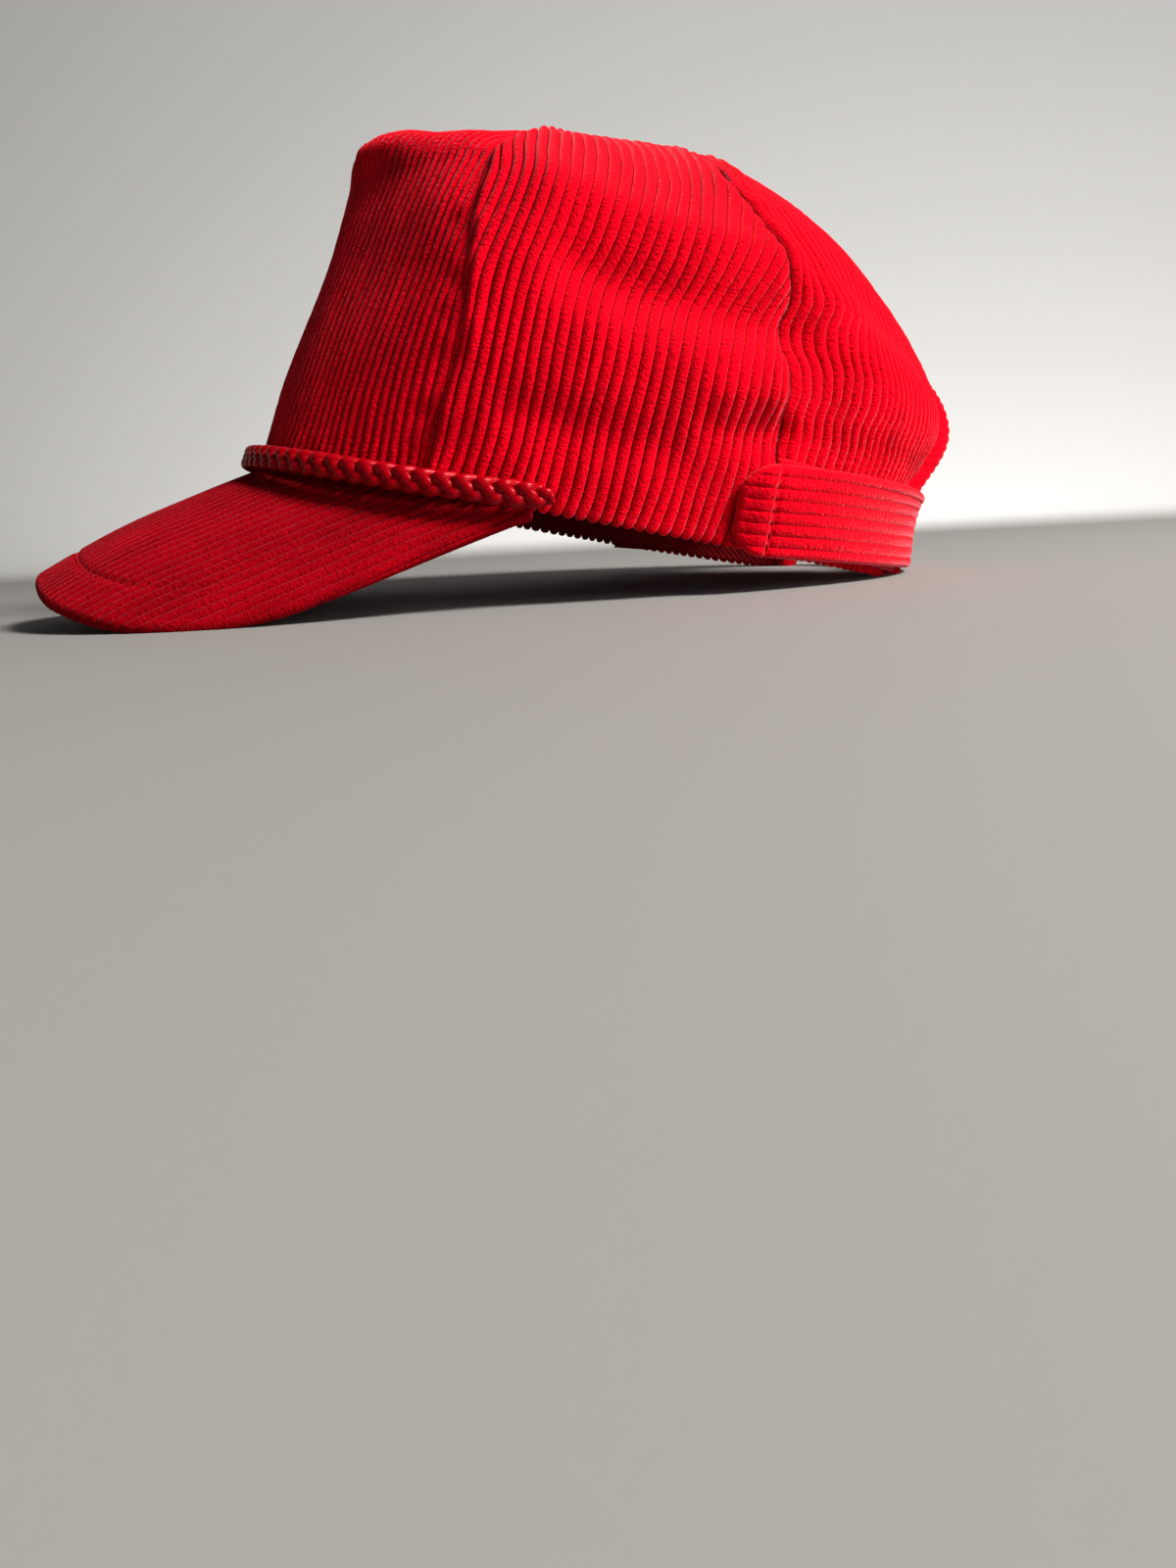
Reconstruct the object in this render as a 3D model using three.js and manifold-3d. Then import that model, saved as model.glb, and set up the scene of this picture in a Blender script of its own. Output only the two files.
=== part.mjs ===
// Five-panel corduroy rope cap, lying on its peak and the back of its rim.
// Millimetres, +Z up, the front faces -Y and the wearer's left is +X.
import * as THREE from 'three';
import { mergeVertices } from 'three/addons/utils/BufferGeometryUtils.js';
import Module from 'manifold-3d';

const wasm = await Module();
wasm.setup();

// Driving dimensions. The cap is drawn with its rim level at z = 0, then laid down.
const CLOTH = 2.0;            // corduroy wall, backing and ribs together
const GAP = 0.3;              // clearance between sewn pieces
const SIDE_LENGTH = 170;      // rim to apex, measured over the side
const SIDE_RADIUS = 80;       // half width of the crown
const APEX_HOLE = 0.03;       // share of the way up left open under the button
const ARCH_ROWS = 10;         // rows of a panel beside the back opening
const UPPER_ROWS = 11;        // rows above it
const PANEL_COLUMNS = { front: 24, side: 14, back: 12 };
const PEAK = { thick: 4, bend: 95, droop: 32.4, bowFrom: 30, bow: 0.0022, endAngle: 71.5, tuck: 1.2 };
const ROPE = { tall: 6.4, thick: 4.6, frontHeight: 0.9, endHeight: 3.6, endAngle: 72.5 };
const STRAP = {
  tall: 23.6, thick: 2.2, corner: 8, tabAngle: 99.5, endAngle: 254, endHeight: 7.8, backHeight: 15.2,
};
const UNDER = { low: 0.5, high: 22, thick: 1.6, clear: 0.6, startAngle: 105.5, endAngle: 146 };
const OPENING = { halfAngle: 30, top: 0.42, bead: 2.3 };
const BUTTON = { radius: 7.5, foot: 6.8, edge: 1.1, tall: 4.2 };
const FLATTENED = 1.0;        // how far the cloth is pressed flat where it rests

// Level rings of the crown, rim first: front y and z, side x, y and z, back y and z, fullness between them and
// squareness of the front.
const RINGS = [
  { front: [-97.0, 0.0], side: [79.0, 6, -1.2], back: [95.0, 0.0], full: 0.03, square: 0 },
  { front: [-93.0, 22.0], side: [81.5, 6, 20.0], back: [93.5, 20.0], full: 0.03, square: 0.3 },
  { front: [-88.5, 43.0], side: [82.5, 6, 42.0], back: [101.5, 43.0], full: 0.03, square: 0.65 },
  { front: [-84.5, 62.0], side: [79.5, 6, 62.0], back: [90.0, 61.0], full: 0.03, square: 1 },
  { front: [-82.5, 79.0], side: [71.0, 6, 79.0], back: [70.0, 78.0], full: 0.03, square: 1.2 },
  { front: [-82.0, 89.5], side: [58.0, 6, 91.0], back: [51.0, 90.5], full: 0.02, square: 1 },
  { front: [-62.0, 94.5], side: [41.0, 4, 99.0], back: [33.0, 99.0], full: 0.01, square: 0.3 },
  { front: [-33.0, 100.0], side: [21.0, 2, 103.8], back: [16.0, 104.0], full: 0, square: 0 },
  { front: [0, 107.0], side: [0, 0, 107.0], back: [0, 107.0], full: 0, square: 0 },
];

// The stiff front is flat beside its middle and turns a corner at its seams: degrees round from the front, half
// width in degrees, and how far a ring moves sideways as a share of its widest.
const FLAT_FRONT = { middle: 24, width: 16, share: -0.075 };
const FRONT_CORNER = { middle: 57, width: 16, share: 0.11 };

// Seams of the side panels, in degrees round from the front, at shares of the way up from rim to apex.
const SEAMS = [
  { up: 0.00, front: 53.0, rear: 107.0 },
  { up: 0.14, front: 53.0, rear: 106.5 },
  { up: 0.20, front: 53.2, rear: 105.2 },
  { up: 0.26, front: 52.0, rear: 103.8 },
  { up: 0.33, front: 50.1, rear: 103.6 },
  { up: 0.40, front: 48.9, rear: 105.0 },
  { up: 0.47, front: 49.9, rear: 102.7 },
  { up: 0.52, front: 52.4, rear: 99.9 },
  { up: 0.56, front: 54.8, rear: 97.6 },
  { up: 0.61, front: 55.0, rear: 94.5 },
  { up: 0.75, front: 54.5, rear: 93.5 },
  { up: 1.00, front: 53.0, rear: 94.0 },
];

// Soft folds of each side: from one place to another, half width and height; a negative height is a trough.
const FOLDS = [
  { fromAngle: 62, fromUp: 0.455, toAngle: 102, toUp: 0.447, width: 8, height: 2 },
  { fromAngle: 68, fromUp: 0.345, toAngle: 103, toUp: 0.333, width: 8, height: -4.2 },
  { fromAngle: 78, fromUp: 0.25, toAngle: 100, toUp: 0.262, width: 10, height: 1.8 },
  { fromAngle: 66, fromUp: 0.125, toAngle: 88, toUp: 0.115, width: 7, height: -2 },
  { fromAngle: 105, fromUp: 0.18, toAngle: 105, toUp: 0.38, width: 6, height: -2.2 },
  { fromAngle: 117, fromUp: 0.385, toAngle: 122, toUp: 0.27, width: 9, height: 2 },
  { fromAngle: 122, fromUp: 0.43, toAngle: 140, toUp: 0.37, width: 9, height: -1.8 },
  { fromAngle: 40, fromUp: 0.575, toAngle: 52, toUp: 0.6, width: 12, height: -1.8 },
  { fromAngle: 0, fromUp: 0.53, toAngle: 14, toUp: 0.54, width: 12, height: -1 },
];

// The peak's outer edge on the flat, before it is bent: sideways from the middle and forwards of the rim.
const PEAK_EDGE = [
  { side: 0, forward: 69.5 },
  { side: 22, forward: 68.5 },
  { side: 42, forward: 64.5 },
  { side: 62, forward: 53.5 },
  { side: 75.5, forward: 38 },
  { side: 83, forward: 18.5 },
  { side: 85.5, forward: -1 },
  { side: 86, forward: -23 },
  { side: 85.5, forward: -40 },
];

// How far the edge's corner stands off the end of the inner edge, sideways and forwards.
const PEAK_CORNER = new THREE.Vector2(1.5, 2);

const corduroy = new THREE.MeshStandardMaterial({ color: 0xc8102a, roughness: 0.95, metalness: 0 });
const strapCorduroy = new THREE.MeshStandardMaterial({ color: 0xd02038, roughness: 0.9, metalness: 0 });
const satin = new THREE.MeshStandardMaterial({ color: 0xb80f28, roughness: 0.45, metalness: 0 });

const radians = THREE.MathUtils.degToRad;

// The value of a table's column at a place along another, by straight lines between rows.
function lookUp(table, place, key, column) {
  const next = table.findIndex((row) => row[key] >= place);
  if (next === 0) return table[0][column];
  if (next < 0) return table.at(-1)[column];
  const before = table[next - 1];
  const share = (place - before[key]) / (table[next][key] - before[key]);
  return THREE.MathUtils.lerp(before[column], table[next][column], share);
}

// A bell curve: 1 at its middle.
const bell = (distance, width) => Math.exp(-((distance / width) ** 2));

// How far the flat front and its corner move a ring sideways at an angle, as a share of its widest.
function squared(degrees) {
  return [FLAT_FRONT, FRONT_CORNER].reduce((sum, part) => {
    const near = bell(degrees - part.middle, part.width) - bell(degrees + part.middle, part.width);
    return sum + part.share * near;
  }, 0);
}

function ringPoint(ring, angle) {
  const [sideX, sideY, sideZ] = ring.side;
  const along = Math.cos(angle);
  const full = 1 + ring.full * Math.sin(2 * angle) ** 2;
  const [endY, endZ] = along > 0 ? ring.front : ring.back;
  const fromFront = THREE.MathUtils.euclideanModulo(THREE.MathUtils.radToDeg(angle) + 180, 360) - 180;
  return new THREE.Vector3(
    sideX * (Math.sin(angle) * full + ring.square * squared(fromFront)),
    sideY + (endY - sideY) * Math.abs(along) * full,
    sideZ + (endZ - sideZ) * along ** 2,
  );
}

const meridians = new Map();

// The line from rim to apex at a number of degrees round from the front.
function meridian(angle) {
  const key = angle.toFixed(4);
  if (!meridians.has(key)) {
    meridians.set(key, new THREE.CatmullRomCurve3(RINGS.map((ring) => ringPoint(ring, radians(angle)))));
  }
  return meridians.get(key);
}

// How far the folds push the crown outwards at a place on it.
function foldHeight(angle, up) {
  const fromFront = 180 - Math.abs(180 - Math.abs(angle));
  const place = new THREE.Vector3(radians(fromFront) * SIDE_RADIUS, up * SIDE_LENGTH, 0);
  let height = 0;
  for (const fold of FOLDS) {
    const from = new THREE.Vector3(radians(fold.fromAngle) * SIDE_RADIUS, fold.fromUp * SIDE_LENGTH, 0);
    const to = new THREE.Vector3(radians(fold.toAngle) * SIDE_RADIUS, fold.toUp * SIDE_LENGTH, 0);
    const nearest = new THREE.Line3(from, to).closestPointToPoint(place, true, new THREE.Vector3());
    height += fold.height * bell(nearest.distanceTo(place), fold.width);
  }
  return height;
}

// A point of the crown: degrees round from the front, share of the way up, height above the cloth's outside.
function crown(angle, up, lift = 0) {
  const step = 0.25;
  const rise = 0.004;
  const low = Math.max(up - rise, 0);
  const round = meridian(angle + step).getPointAt(up).sub(meridian(angle - step).getPointAt(up));
  const upwards = meridian(angle).getPointAt(up + rise).sub(meridian(angle).getPointAt(low));
  const outwards = round.cross(upwards).normalize();
  return meridian(angle).getPointAt(up).addScaledVector(outwards, lift + foldHeight(angle, up));
}

// Degrees that take up a length round the crown at a place.
function degreesFor(length, angle, up) {
  const span = meridian(angle + 0.5).getPointAt(up).distanceTo(meridian(angle - 0.5).getPointAt(up));
  return length / span;
}

// A closed mesh from rows of points that run round a section, with a fan over each end.
function loft(sections) {
  const around = sections[0].length;
  const positions = sections.flat().flatMap((point) => point.toArray());
  const index = [];
  for (let row = 0; row + 1 < sections.length; row++) {
    for (let side = 0; side < around; side++) {
      const a = row * around + side;
      const b = row * around + (side + 1) % around;
      index.push(a, b, b + around, a, b + around, a + around);
    }
  }
  const last = (sections.length - 1) * around;
  for (let side = 1; side + 1 < around; side++) {
    index.push(0, side + 1, side);
    index.push(last, last + side, last + side + 1);
  }
  return outwardFacing(positions, index);
}

// A closed sheet: a grid of places, each with an outside and an inside point, and a strip round its edge.
function sheet(columns, rows, outside, inside) {
  const positions = [];
  for (const face of [outside, inside]) {
    for (let row = 0; row <= rows; row++) {
      for (let column = 0; column <= columns; column++) {
        positions.push(...face(column / columns, row).toArray());
      }
    }
  }
  const wide = columns + 1;
  const back = wide * (rows + 1);
  const index = [];
  const quad = (a, b, c, d) => index.push(a, b, c, a, c, d);
  for (let row = 0; row < rows; row++) {
    for (let column = 0; column < columns; column++) {
      const a = row * wide + column;
      quad(a, a + 1, a + 1 + wide, a + wide);
      quad(back + a + wide, back + a + 1 + wide, back + a + 1, back + a);
    }
  }
  for (let column = 0; column < columns; column++) {
    const top = rows * wide + column;
    quad(back + column, back + column + 1, column + 1, column);
    quad(top, top + 1, back + top + 1, back + top);
  }
  for (let row = 0; row < rows; row++) {
    const left = row * wide;
    const right = left + columns;
    quad(left, left + wide, back + left + wide, back + left);
    quad(back + right, back + right + wide, right + wide, right);
  }
  return outwardFacing(positions, index);
}

// Joins points that coincide, drops the triangles this empties, and turns the faces outwards.
function outwardFacing(positions, index) {
  const raw = new THREE.BufferGeometry();
  raw.setAttribute('position', new THREE.Float32BufferAttribute(positions, 3));
  raw.setIndex(index);
  const merged = mergeVertices(raw, 1e-3);
  const place = merged.getAttribute('position');
  const corner = (i) => new THREE.Vector3().fromBufferAttribute(place, i);
  const kept = [];
  let volume = 0;
  for (let i = 0; i < merged.index.count; i += 3) {
    const [a, b, c] = [0, 1, 2].map((k) => merged.index.getX(i + k));
    if (a === b || b === c || c === a) continue;
    kept.push(a, b, c);
    volume += corner(a).dot(corner(b).cross(corner(c)));
  }
  merged.setIndex(volume > 0 ? kept : kept.reverse());
  return merged;
}

// The same piece on the wearer's other side.
function mirrored(geometry) {
  const place = geometry.getAttribute('position').clone();
  for (let i = 0; i < place.count; i++) place.setX(i, -place.getX(i));
  return outwardFacing(Array.from(place.array), Array.from(geometry.index.array));
}

// A crown panel between two seams, given as degrees round from the front at each share of the way up.
function panel(columns, fromSeam, toSeam) {
  const at = (across, row, lift) => {
    const up = levels[row];
    const from = fromSeam(up);
    const to = toSeam(up);
    const start = from + degreesFor(GAP / 2, from, up);
    const end = to - degreesFor(GAP / 2, to, up);
    return crown(THREE.MathUtils.lerp(start, end, across), up, lift);
  };
  return sheet(columns, levels.length - 1, (c, r) => at(c, r, 0), (c, r) => at(c, r, -CLOTH));
}

const frontSeam = (up) => lookUp(SEAMS, up, 'up', 'front');
const rearSeam = (up) => lookUp(SEAMS, up, 'up', 'rear');

// The back panel stops short of the opening's binding, which takes up the edge.
const bead = OPENING.bead + 1.5 * GAP;
const edgeTop = OPENING.top + bead / SIDE_LENGTH;
const edgeHalf = OPENING.halfAngle + degreesFor(bead, 180 - OPENING.halfAngle, 0);
const backEdge = (up) => 180 - edgeHalf * Math.sqrt(1 - Math.min(up / edgeTop, 1) ** 2);

// Levels of every panel's rows: closer together towards the top of the opening, then even up to the button.
const archLevel = (row) => edgeTop * Math.sin(row / ARCH_ROWS * Math.PI / 2);
const upperLevel = (row) => THREE.MathUtils.lerp(edgeTop, 1 - APEX_HOLE, row / UPPER_ROWS);
const levels = [
  ...Array.from({ length: ARCH_ROWS }, (_, row) => archLevel(row)),
  ...Array.from({ length: UPPER_ROWS + 1 }, (_, row) => upperLevel(row)),
];

const frontPanel = panel(PANEL_COLUMNS.front, (up) => -frontSeam(up), frontSeam);
const sidePanelLeft = panel(PANEL_COLUMNS.side, frontSeam, rearSeam);
const backPanelLeft = panel(PANEL_COLUMNS.back, rearSeam, backEdge);

// The arch that the binding follows, as a place on the crown for a share of the way round it.
function archPlace(share) {
  const turn = Math.PI * share;
  return { angle: 180 - OPENING.halfAngle * Math.cos(turn), up: OPENING.top * Math.sin(turn) };
}

// A rounded section swept along points, kept square to the path and to the outward direction at each point.
function sweep(path, outwards, halfAcross, halfOut, sides) {
  const sections = path.map((point, i) => {
    const ahead = path[Math.min(i + 1, path.length - 1)];
    const behind = path[Math.max(i - 1, 0)];
    const along = ahead.clone().sub(behind).normalize();
    const across = along.clone().cross(outwards[i]).normalize();
    const out = across.clone().cross(along);
    return Array.from({ length: sides }, (_, side) => {
      const turn = 2 * Math.PI * side / sides;
      return point.clone()
        .addScaledVector(across, halfAcross * Math.cos(turn))
        .addScaledVector(out, halfOut * Math.sin(turn));
    });
  });
  return loft(sections);
}

function bindingGeometry() {
  const steps = 44;
  const places = Array.from({ length: steps + 1 }, (_, i) => archPlace(i / steps));
  const middle = places.map(({ angle, up }) => crown(angle, up));
  const outwards = places.map(({ angle, up }, i) => crown(angle, up, CLOTH).sub(middle[i]));
  return sweep(middle, outwards, OPENING.bead, OPENING.bead, 8);
}

// The rope lies on the joint of peak and crown, and climbs a little towards its ends.
function ropeGeometry() {
  const steps = 50;
  const places = Array.from({ length: steps + 1 }, (_, i) => {
    const share = 2 * i / steps - 1;
    const height = THREE.MathUtils.lerp(ROPE.frontHeight, ROPE.endHeight, share ** 4);
    return { angle: share * ROPE.endAngle, up: height / SIDE_LENGTH };
  });
  const middle = places.map(({ angle, up }) => crown(angle, up, GAP + ROPE.thick / 2));
  const outwards = places.map(({ angle, up }, i) => crown(angle, up, GAP + ROPE.thick).sub(middle[i]));
  return sweep(middle, outwards, ROPE.tall / 2, ROPE.thick / 2, 10);
}

// The peak is a flat piece bent round a cylinder whose axis runs down its middle.
const droop = radians(PEAK.droop);
const forwards = new THREE.Vector3(0, -Math.cos(droop), -Math.sin(droop));
const upFromPeak = new THREE.Vector3(0, -Math.sin(droop), Math.cos(droop));
const rimFront = crown(0, 0, -PEAK.tuck).add(new THREE.Vector3(0, 0, -GAP));

function bentPeak(side, forward, lift) {
  const turn = side / PEAK.bend;
  const radius = PEAK.bend + lift;
  const bow = PEAK.bow * Math.max(forward - PEAK.bowFrom, 0) ** 2;
  const drop = PEAK.bend - radius * Math.cos(turn) + bow;
  return new THREE.Vector3(radius * Math.sin(turn), 0, 0)
    .add(rimFront)
    .addScaledVector(forwards, forward)
    .addScaledVector(upFromPeak, -drop);
}

// Where the peak's inner edge meets the crown's rim, on the flat.
function peakInner(angle) {
  const rim = crown(angle, 0, -PEAK.tuck);
  const side = PEAK.bend * Math.asin(rim.x / PEAK.bend);
  const drop = PEAK.bend * (1 - Math.cos(side / PEAK.bend));
  const forward = (rimFront.z - rim.z + GAP - drop * Math.cos(droop)) / Math.sin(droop);
  return new THREE.Vector2(side, forward);
}

function peakGeometry() {
  const corner = peakInner(PEAK.endAngle).add(PEAK_CORNER);
  const half = [...PEAK_EDGE.map((row) => new THREE.Vector2(row.side, row.forward)), corner];
  const leftToRight = [...half.slice(1).reverse().map((p) => new THREE.Vector2(-p.x, p.y)), ...half];
  const edge = new THREE.SplineCurve(leftToRight);
  const flatRows = 3;
  const roundRows = 3;
  const at = (across, row, upper) => {
    const inner = peakInner(THREE.MathUtils.lerp(-PEAK.endAngle, PEAK.endAngle, across));
    const outer = edge.getPointAt(across);
    const width = inner.distanceTo(outer);
    const rounded = Math.min(PEAK.thick / 2, width / 2);
    const turn = Math.max(row - flatRows, 0) / roundRows * Math.PI / 2;
    const out = (width - rounded) * Math.min(row / flatRows, 1) + rounded * Math.sin(turn);
    const place = inner.clone().lerp(outer, out / width);
    const halfThick = PEAK.thick / 2 * Math.cos(turn);
    return bentPeak(place.x, place.y, -PEAK.thick / 2 + (upper ? halfThick : -halfThick));
  };
  const rows = flatRows + roundRows;
  const columns = 40;
  return sheet(columns, rows, (c, r) => at(c, r, true), (c, r) => at(c, r, false));
}

// The straps lie on the crown; their places are degrees round from the front and millimetres above the rim.
function onCrown(angle, height, lift) {
  const length = meridian(angle).getLength();
  const rimZ = meridian(angle).getPointAt(0).z;
  const rise = height - rimZ;
  const point = crown(angle, Math.max(rise, 0) / length, lift);
  if (rise < 0) point.z += rise;
  return point;
}

const strapMiddle = (angle) => {
  const share = (180 - angle) / (180 - STRAP.tabAngle);
  return STRAP.backHeight + (STRAP.endHeight - STRAP.backHeight) * share ** 2;
};

// How far the strap's inside stands off the crown: clear of the strap end and the binding under it, and close
// at its own ends.
function strapClear(angle) {
  const over = UNDER.clear + UNDER.thick + 1.5 * GAP;
  const pastOpening = 180 + OPENING.halfAngle + 8;
  const easing = 16;
  const rising = THREE.MathUtils.smoothstep(angle, STRAP.tabAngle, UNDER.startAngle - 2);
  const falling = 1 - THREE.MathUtils.smoothstep(angle, pastOpening, pastOpening + easing);
  const least = angle < 180 ? GAP : 3 * GAP;
  return least + (over - least) * Math.min(rising, falling);
}

// The back strap; its columns crowd towards the rounded tab end.
function strapGeometry() {
  const rows = 4;
  const columns = 44;
  const crowding = 1.5;
  const place = (across, row, lift) => {
    const angle = THREE.MathUtils.lerp(STRAP.tabAngle, STRAP.endAngle, across ** crowding);
    const fromTab = radians(angle - STRAP.tabAngle) * SIDE_RADIUS;
    const inCorner = Math.max(STRAP.corner - fromTab, 0);
    const half = STRAP.tall / 2 - STRAP.corner + Math.sqrt(STRAP.corner ** 2 - inCorner ** 2);
    const height = strapMiddle(angle) + half * (2 * row / rows - 1);
    return onCrown(angle, height, strapClear(angle) + lift);
  };
  return sheet(columns, rows, (c, r) => place(c, r, STRAP.thick), (c, r) => place(c, r, 0));
}

function underStrapGeometry() {
  const rows = 4;
  const place = (across, row, lift) => {
    const angle = THREE.MathUtils.lerp(UNDER.startAngle, UNDER.endAngle, across);
    return onCrown(angle, THREE.MathUtils.lerp(UNDER.low, UNDER.high, row / rows), UNDER.clear + lift);
  };
  return sheet(20, rows, (c, r) => place(c, r, UNDER.thick), (c, r) => place(c, r, 0));
}

// A covered button: a dome with a flat base that sits on the panels' points.
function buttonGeometry() {
  const profile = [new THREE.Vector2(0, 0), new THREE.Vector2(BUTTON.foot, 0)];
  const steps = 6;
  for (let i = 0; i <= steps; i++) {
    const turn = i / steps * Math.PI / 2;
    const rise = THREE.MathUtils.lerp(BUTTON.edge, BUTTON.tall, Math.sin(turn));
    profile.push(new THREE.Vector2(BUTTON.radius * Math.cos(turn), rise));
  }
  profile.at(-1).x = 0;
  const seat = RINGS.at(-1).front[1] - GAP / 2;
  return new THREE.LatheGeometry(profile, 20).rotateX(Math.PI / 2).translate(0, 0, seat);
}

function solid(geometry) {
  const bare = geometry.clone();
  bare.deleteAttribute('normal');
  bare.deleteAttribute('uv');
  const merged = mergeVertices(bare, 1e-3);
  return new wasm.Manifold(new wasm.Mesh({
    numProp: 3,
    vertProperties: merged.getAttribute('position').array,
    triVerts: new Uint32Array(merged.index.array),
  }));
}

function geometryOf(manifold) {
  const mesh = manifold.getMesh();
  const geometry = new THREE.BufferGeometry();
  geometry.setAttribute('position', new THREE.Float32BufferAttribute(mesh.vertProperties, 3));
  geometry.setIndex(Array.from(mesh.triVerts));
  return geometry;
}

// The box round a piece once the cap is turned about X.
function turnedBox(geometry, turn) {
  const place = geometry.getAttribute('position').clone();
  return new THREE.Box3().setFromBufferAttribute(place.applyMatrix4(new THREE.Matrix4().makeRotationX(turn)));
}

// The turn about X that lifts the peak until it and the back of the rim lie equally low.
function restingTurn(peak, back) {
  let low = 0;
  let high = Math.PI / 6;
  for (let i = 0; i < 40; i++) {
    const lift = (low + high) / 2;
    if (turnedBox(peak, -lift).min.z < turnedBox(back, -lift).min.z) low = lift;
    else high = lift;
  }
  return -low;
}

const pieces = {
  front_panel: [frontPanel, corduroy],
  side_panel_left: [sidePanelLeft, corduroy],
  side_panel_right: [mirrored(sidePanelLeft), corduroy],
  back_panel_left: [backPanelLeft, corduroy],
  back_panel_right: [mirrored(backPanelLeft), corduroy],
  peak: [peakGeometry(), corduroy],
  rope: [ropeGeometry(), satin],
  back_strap: [strapGeometry(), strapCorduroy],
  under_strap: [underStrapGeometry(), strapCorduroy],
  opening_binding: [bindingGeometry(), corduroy],
  top_button: [buttonGeometry(), corduroy],
};

// The cap is laid down in a group of its own: turned, set on the floor and centred front to back.
const turn = restingTurn(pieces.peak[0], pieces.opening_binding[0]);
const box = new THREE.Box3();
for (const [geometry] of Object.values(pieces)) box.union(turnedBox(geometry, turn));
const cap = new THREE.Group();
cap.rotation.x = turn;
cap.position.set(0, -(box.min.y + box.max.y) / 2, -box.min.z - FLATTENED);
cap.updateMatrix();

// The floor as a block in the cap's own frame, to press flat what rests on it.
const floorDepth = 20;
const floor = solid(
  new THREE.BoxGeometry(400, 400, floorDepth)
    .translate(0, 0, -floorDepth / 2)
    .applyMatrix4(cap.matrix.clone().invert()),
);

for (const [name, [geometry, material]] of Object.entries(pieces)) {
  const mesh = new THREE.Mesh(geometryOf(solid(geometry).subtract(floor)), material);
  mesh.name = name;
  cap.add(mesh);
}

const scene = new THREE.Group();
scene.add(cap);
export default scene;
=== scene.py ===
"""Red corduroy rope cap: five panels, a curved peak, a braided rope and a strap over an arched opening.

Shapes are drawn in millimetres with the rim level at z = 0, the front towards -Y and the wearer's left
towards +X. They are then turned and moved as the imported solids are, and become metres.
"""

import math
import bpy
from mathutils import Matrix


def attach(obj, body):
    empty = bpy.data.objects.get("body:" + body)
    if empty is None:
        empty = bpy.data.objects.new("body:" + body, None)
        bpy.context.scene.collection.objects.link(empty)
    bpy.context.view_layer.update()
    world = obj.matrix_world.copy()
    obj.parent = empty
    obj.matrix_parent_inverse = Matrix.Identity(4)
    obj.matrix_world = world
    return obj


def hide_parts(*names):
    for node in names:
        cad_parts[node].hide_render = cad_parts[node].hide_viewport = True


bl_info = {
    "name": "Corduroy rope cap",
    "version": (1, 0, 0),
    "blender": (4, 5, 0),
    "location": "View3D > Sidebar > Rope cap",
    "description": "Builds a five-panel corduroy rope cap around its packed solids",
    "category": "Object",
}

import bpy
import numpy as np
from bpy.props import FloatProperty, FloatVectorProperty, PointerProperty
from mathutils import Matrix, Vector

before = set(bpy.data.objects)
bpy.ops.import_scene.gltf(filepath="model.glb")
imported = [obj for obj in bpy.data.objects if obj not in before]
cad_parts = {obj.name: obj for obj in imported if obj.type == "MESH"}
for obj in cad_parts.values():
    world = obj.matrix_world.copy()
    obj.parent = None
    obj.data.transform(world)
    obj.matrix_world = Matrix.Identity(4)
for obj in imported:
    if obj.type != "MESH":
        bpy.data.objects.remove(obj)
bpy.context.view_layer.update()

MM = 0.001
BODY = "root"

# How the cap lies on its peak and the back of its rim: a turn about X, then a move.
LAY_TURN = math.radians(-13.1958)
LAY_SHIFT = np.array([0.0, 26.0540, 18.9857])

CLOTH = 2.0           # corduroy wall, backing and wales together
GAP = 0.3             # clearance between sewn pieces
SIDE_LENGTH = 170.0   # rim to apex, measured over the side
SIDE_RADIUS = 80.0    # half width of the crown
TOP_UP = 0.972        # share of the way up where the panels end under the button

# Level rings of the crown, rim first: front y and z, widest y, side x and z, back y and z,
# fullness, squareness.
RINGS = np.array([
    (-97.0, 0.0, 6, 79.0, -1.2, 95.0, 0.0, 0.03, 0.0),
    (-93.0, 22.0, 6, 81.5, 20.0, 93.5, 20.0, 0.03, 0.3),
    (-88.5, 43.0, 6, 82.5, 42.0, 101.5, 43.0, 0.03, 0.65),
    (-84.5, 62.0, 6, 79.5, 62.0, 90.0, 61.0, 0.03, 1.0),
    (-82.5, 79.0, 6, 71.0, 79.0, 70.0, 78.0, 0.03, 1.2),
    (-82.0, 89.5, 6, 58.0, 91.0, 51.0, 90.5, 0.02, 1.0),
    (-62.0, 94.5, 4, 41.0, 99.0, 33.0, 99.0, 0.01, 0.3),
    (-33.0, 100.0, 2, 21.0, 103.8, 16.0, 104.0, 0.0, 0.0),
    (0.0, 107.0, 0, 0.0, 107.0, 0.0, 107.0, 0.0, 0.0),
])

# The stiff front is flat beside its middle and turns a corner at its seams: degrees, half width,
# share of side x.
FLAT_FRONT = (24.0, 16.0, -0.075)
FRONT_CORNER = (57.0, 16.0, 0.11)

# Seams of a side panel at shares of the way up: share, front and rear seam in degrees round from the front.
SEAMS = np.array([
    (0.00, 53.0, 107.0),
    (0.14, 53.0, 106.5),
    (0.20, 53.2, 105.2),
    (0.26, 52.0, 103.8),
    (0.33, 50.1, 103.6),
    (0.40, 48.9, 105.0),
    (0.47, 49.9, 102.7),
    (0.52, 52.4, 99.9),
    (0.56, 54.8, 97.6),
    (0.61, 55.0, 94.5),
    (0.75, 54.5, 93.5),
    (1.00, 53.0, 94.0),
])

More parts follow.
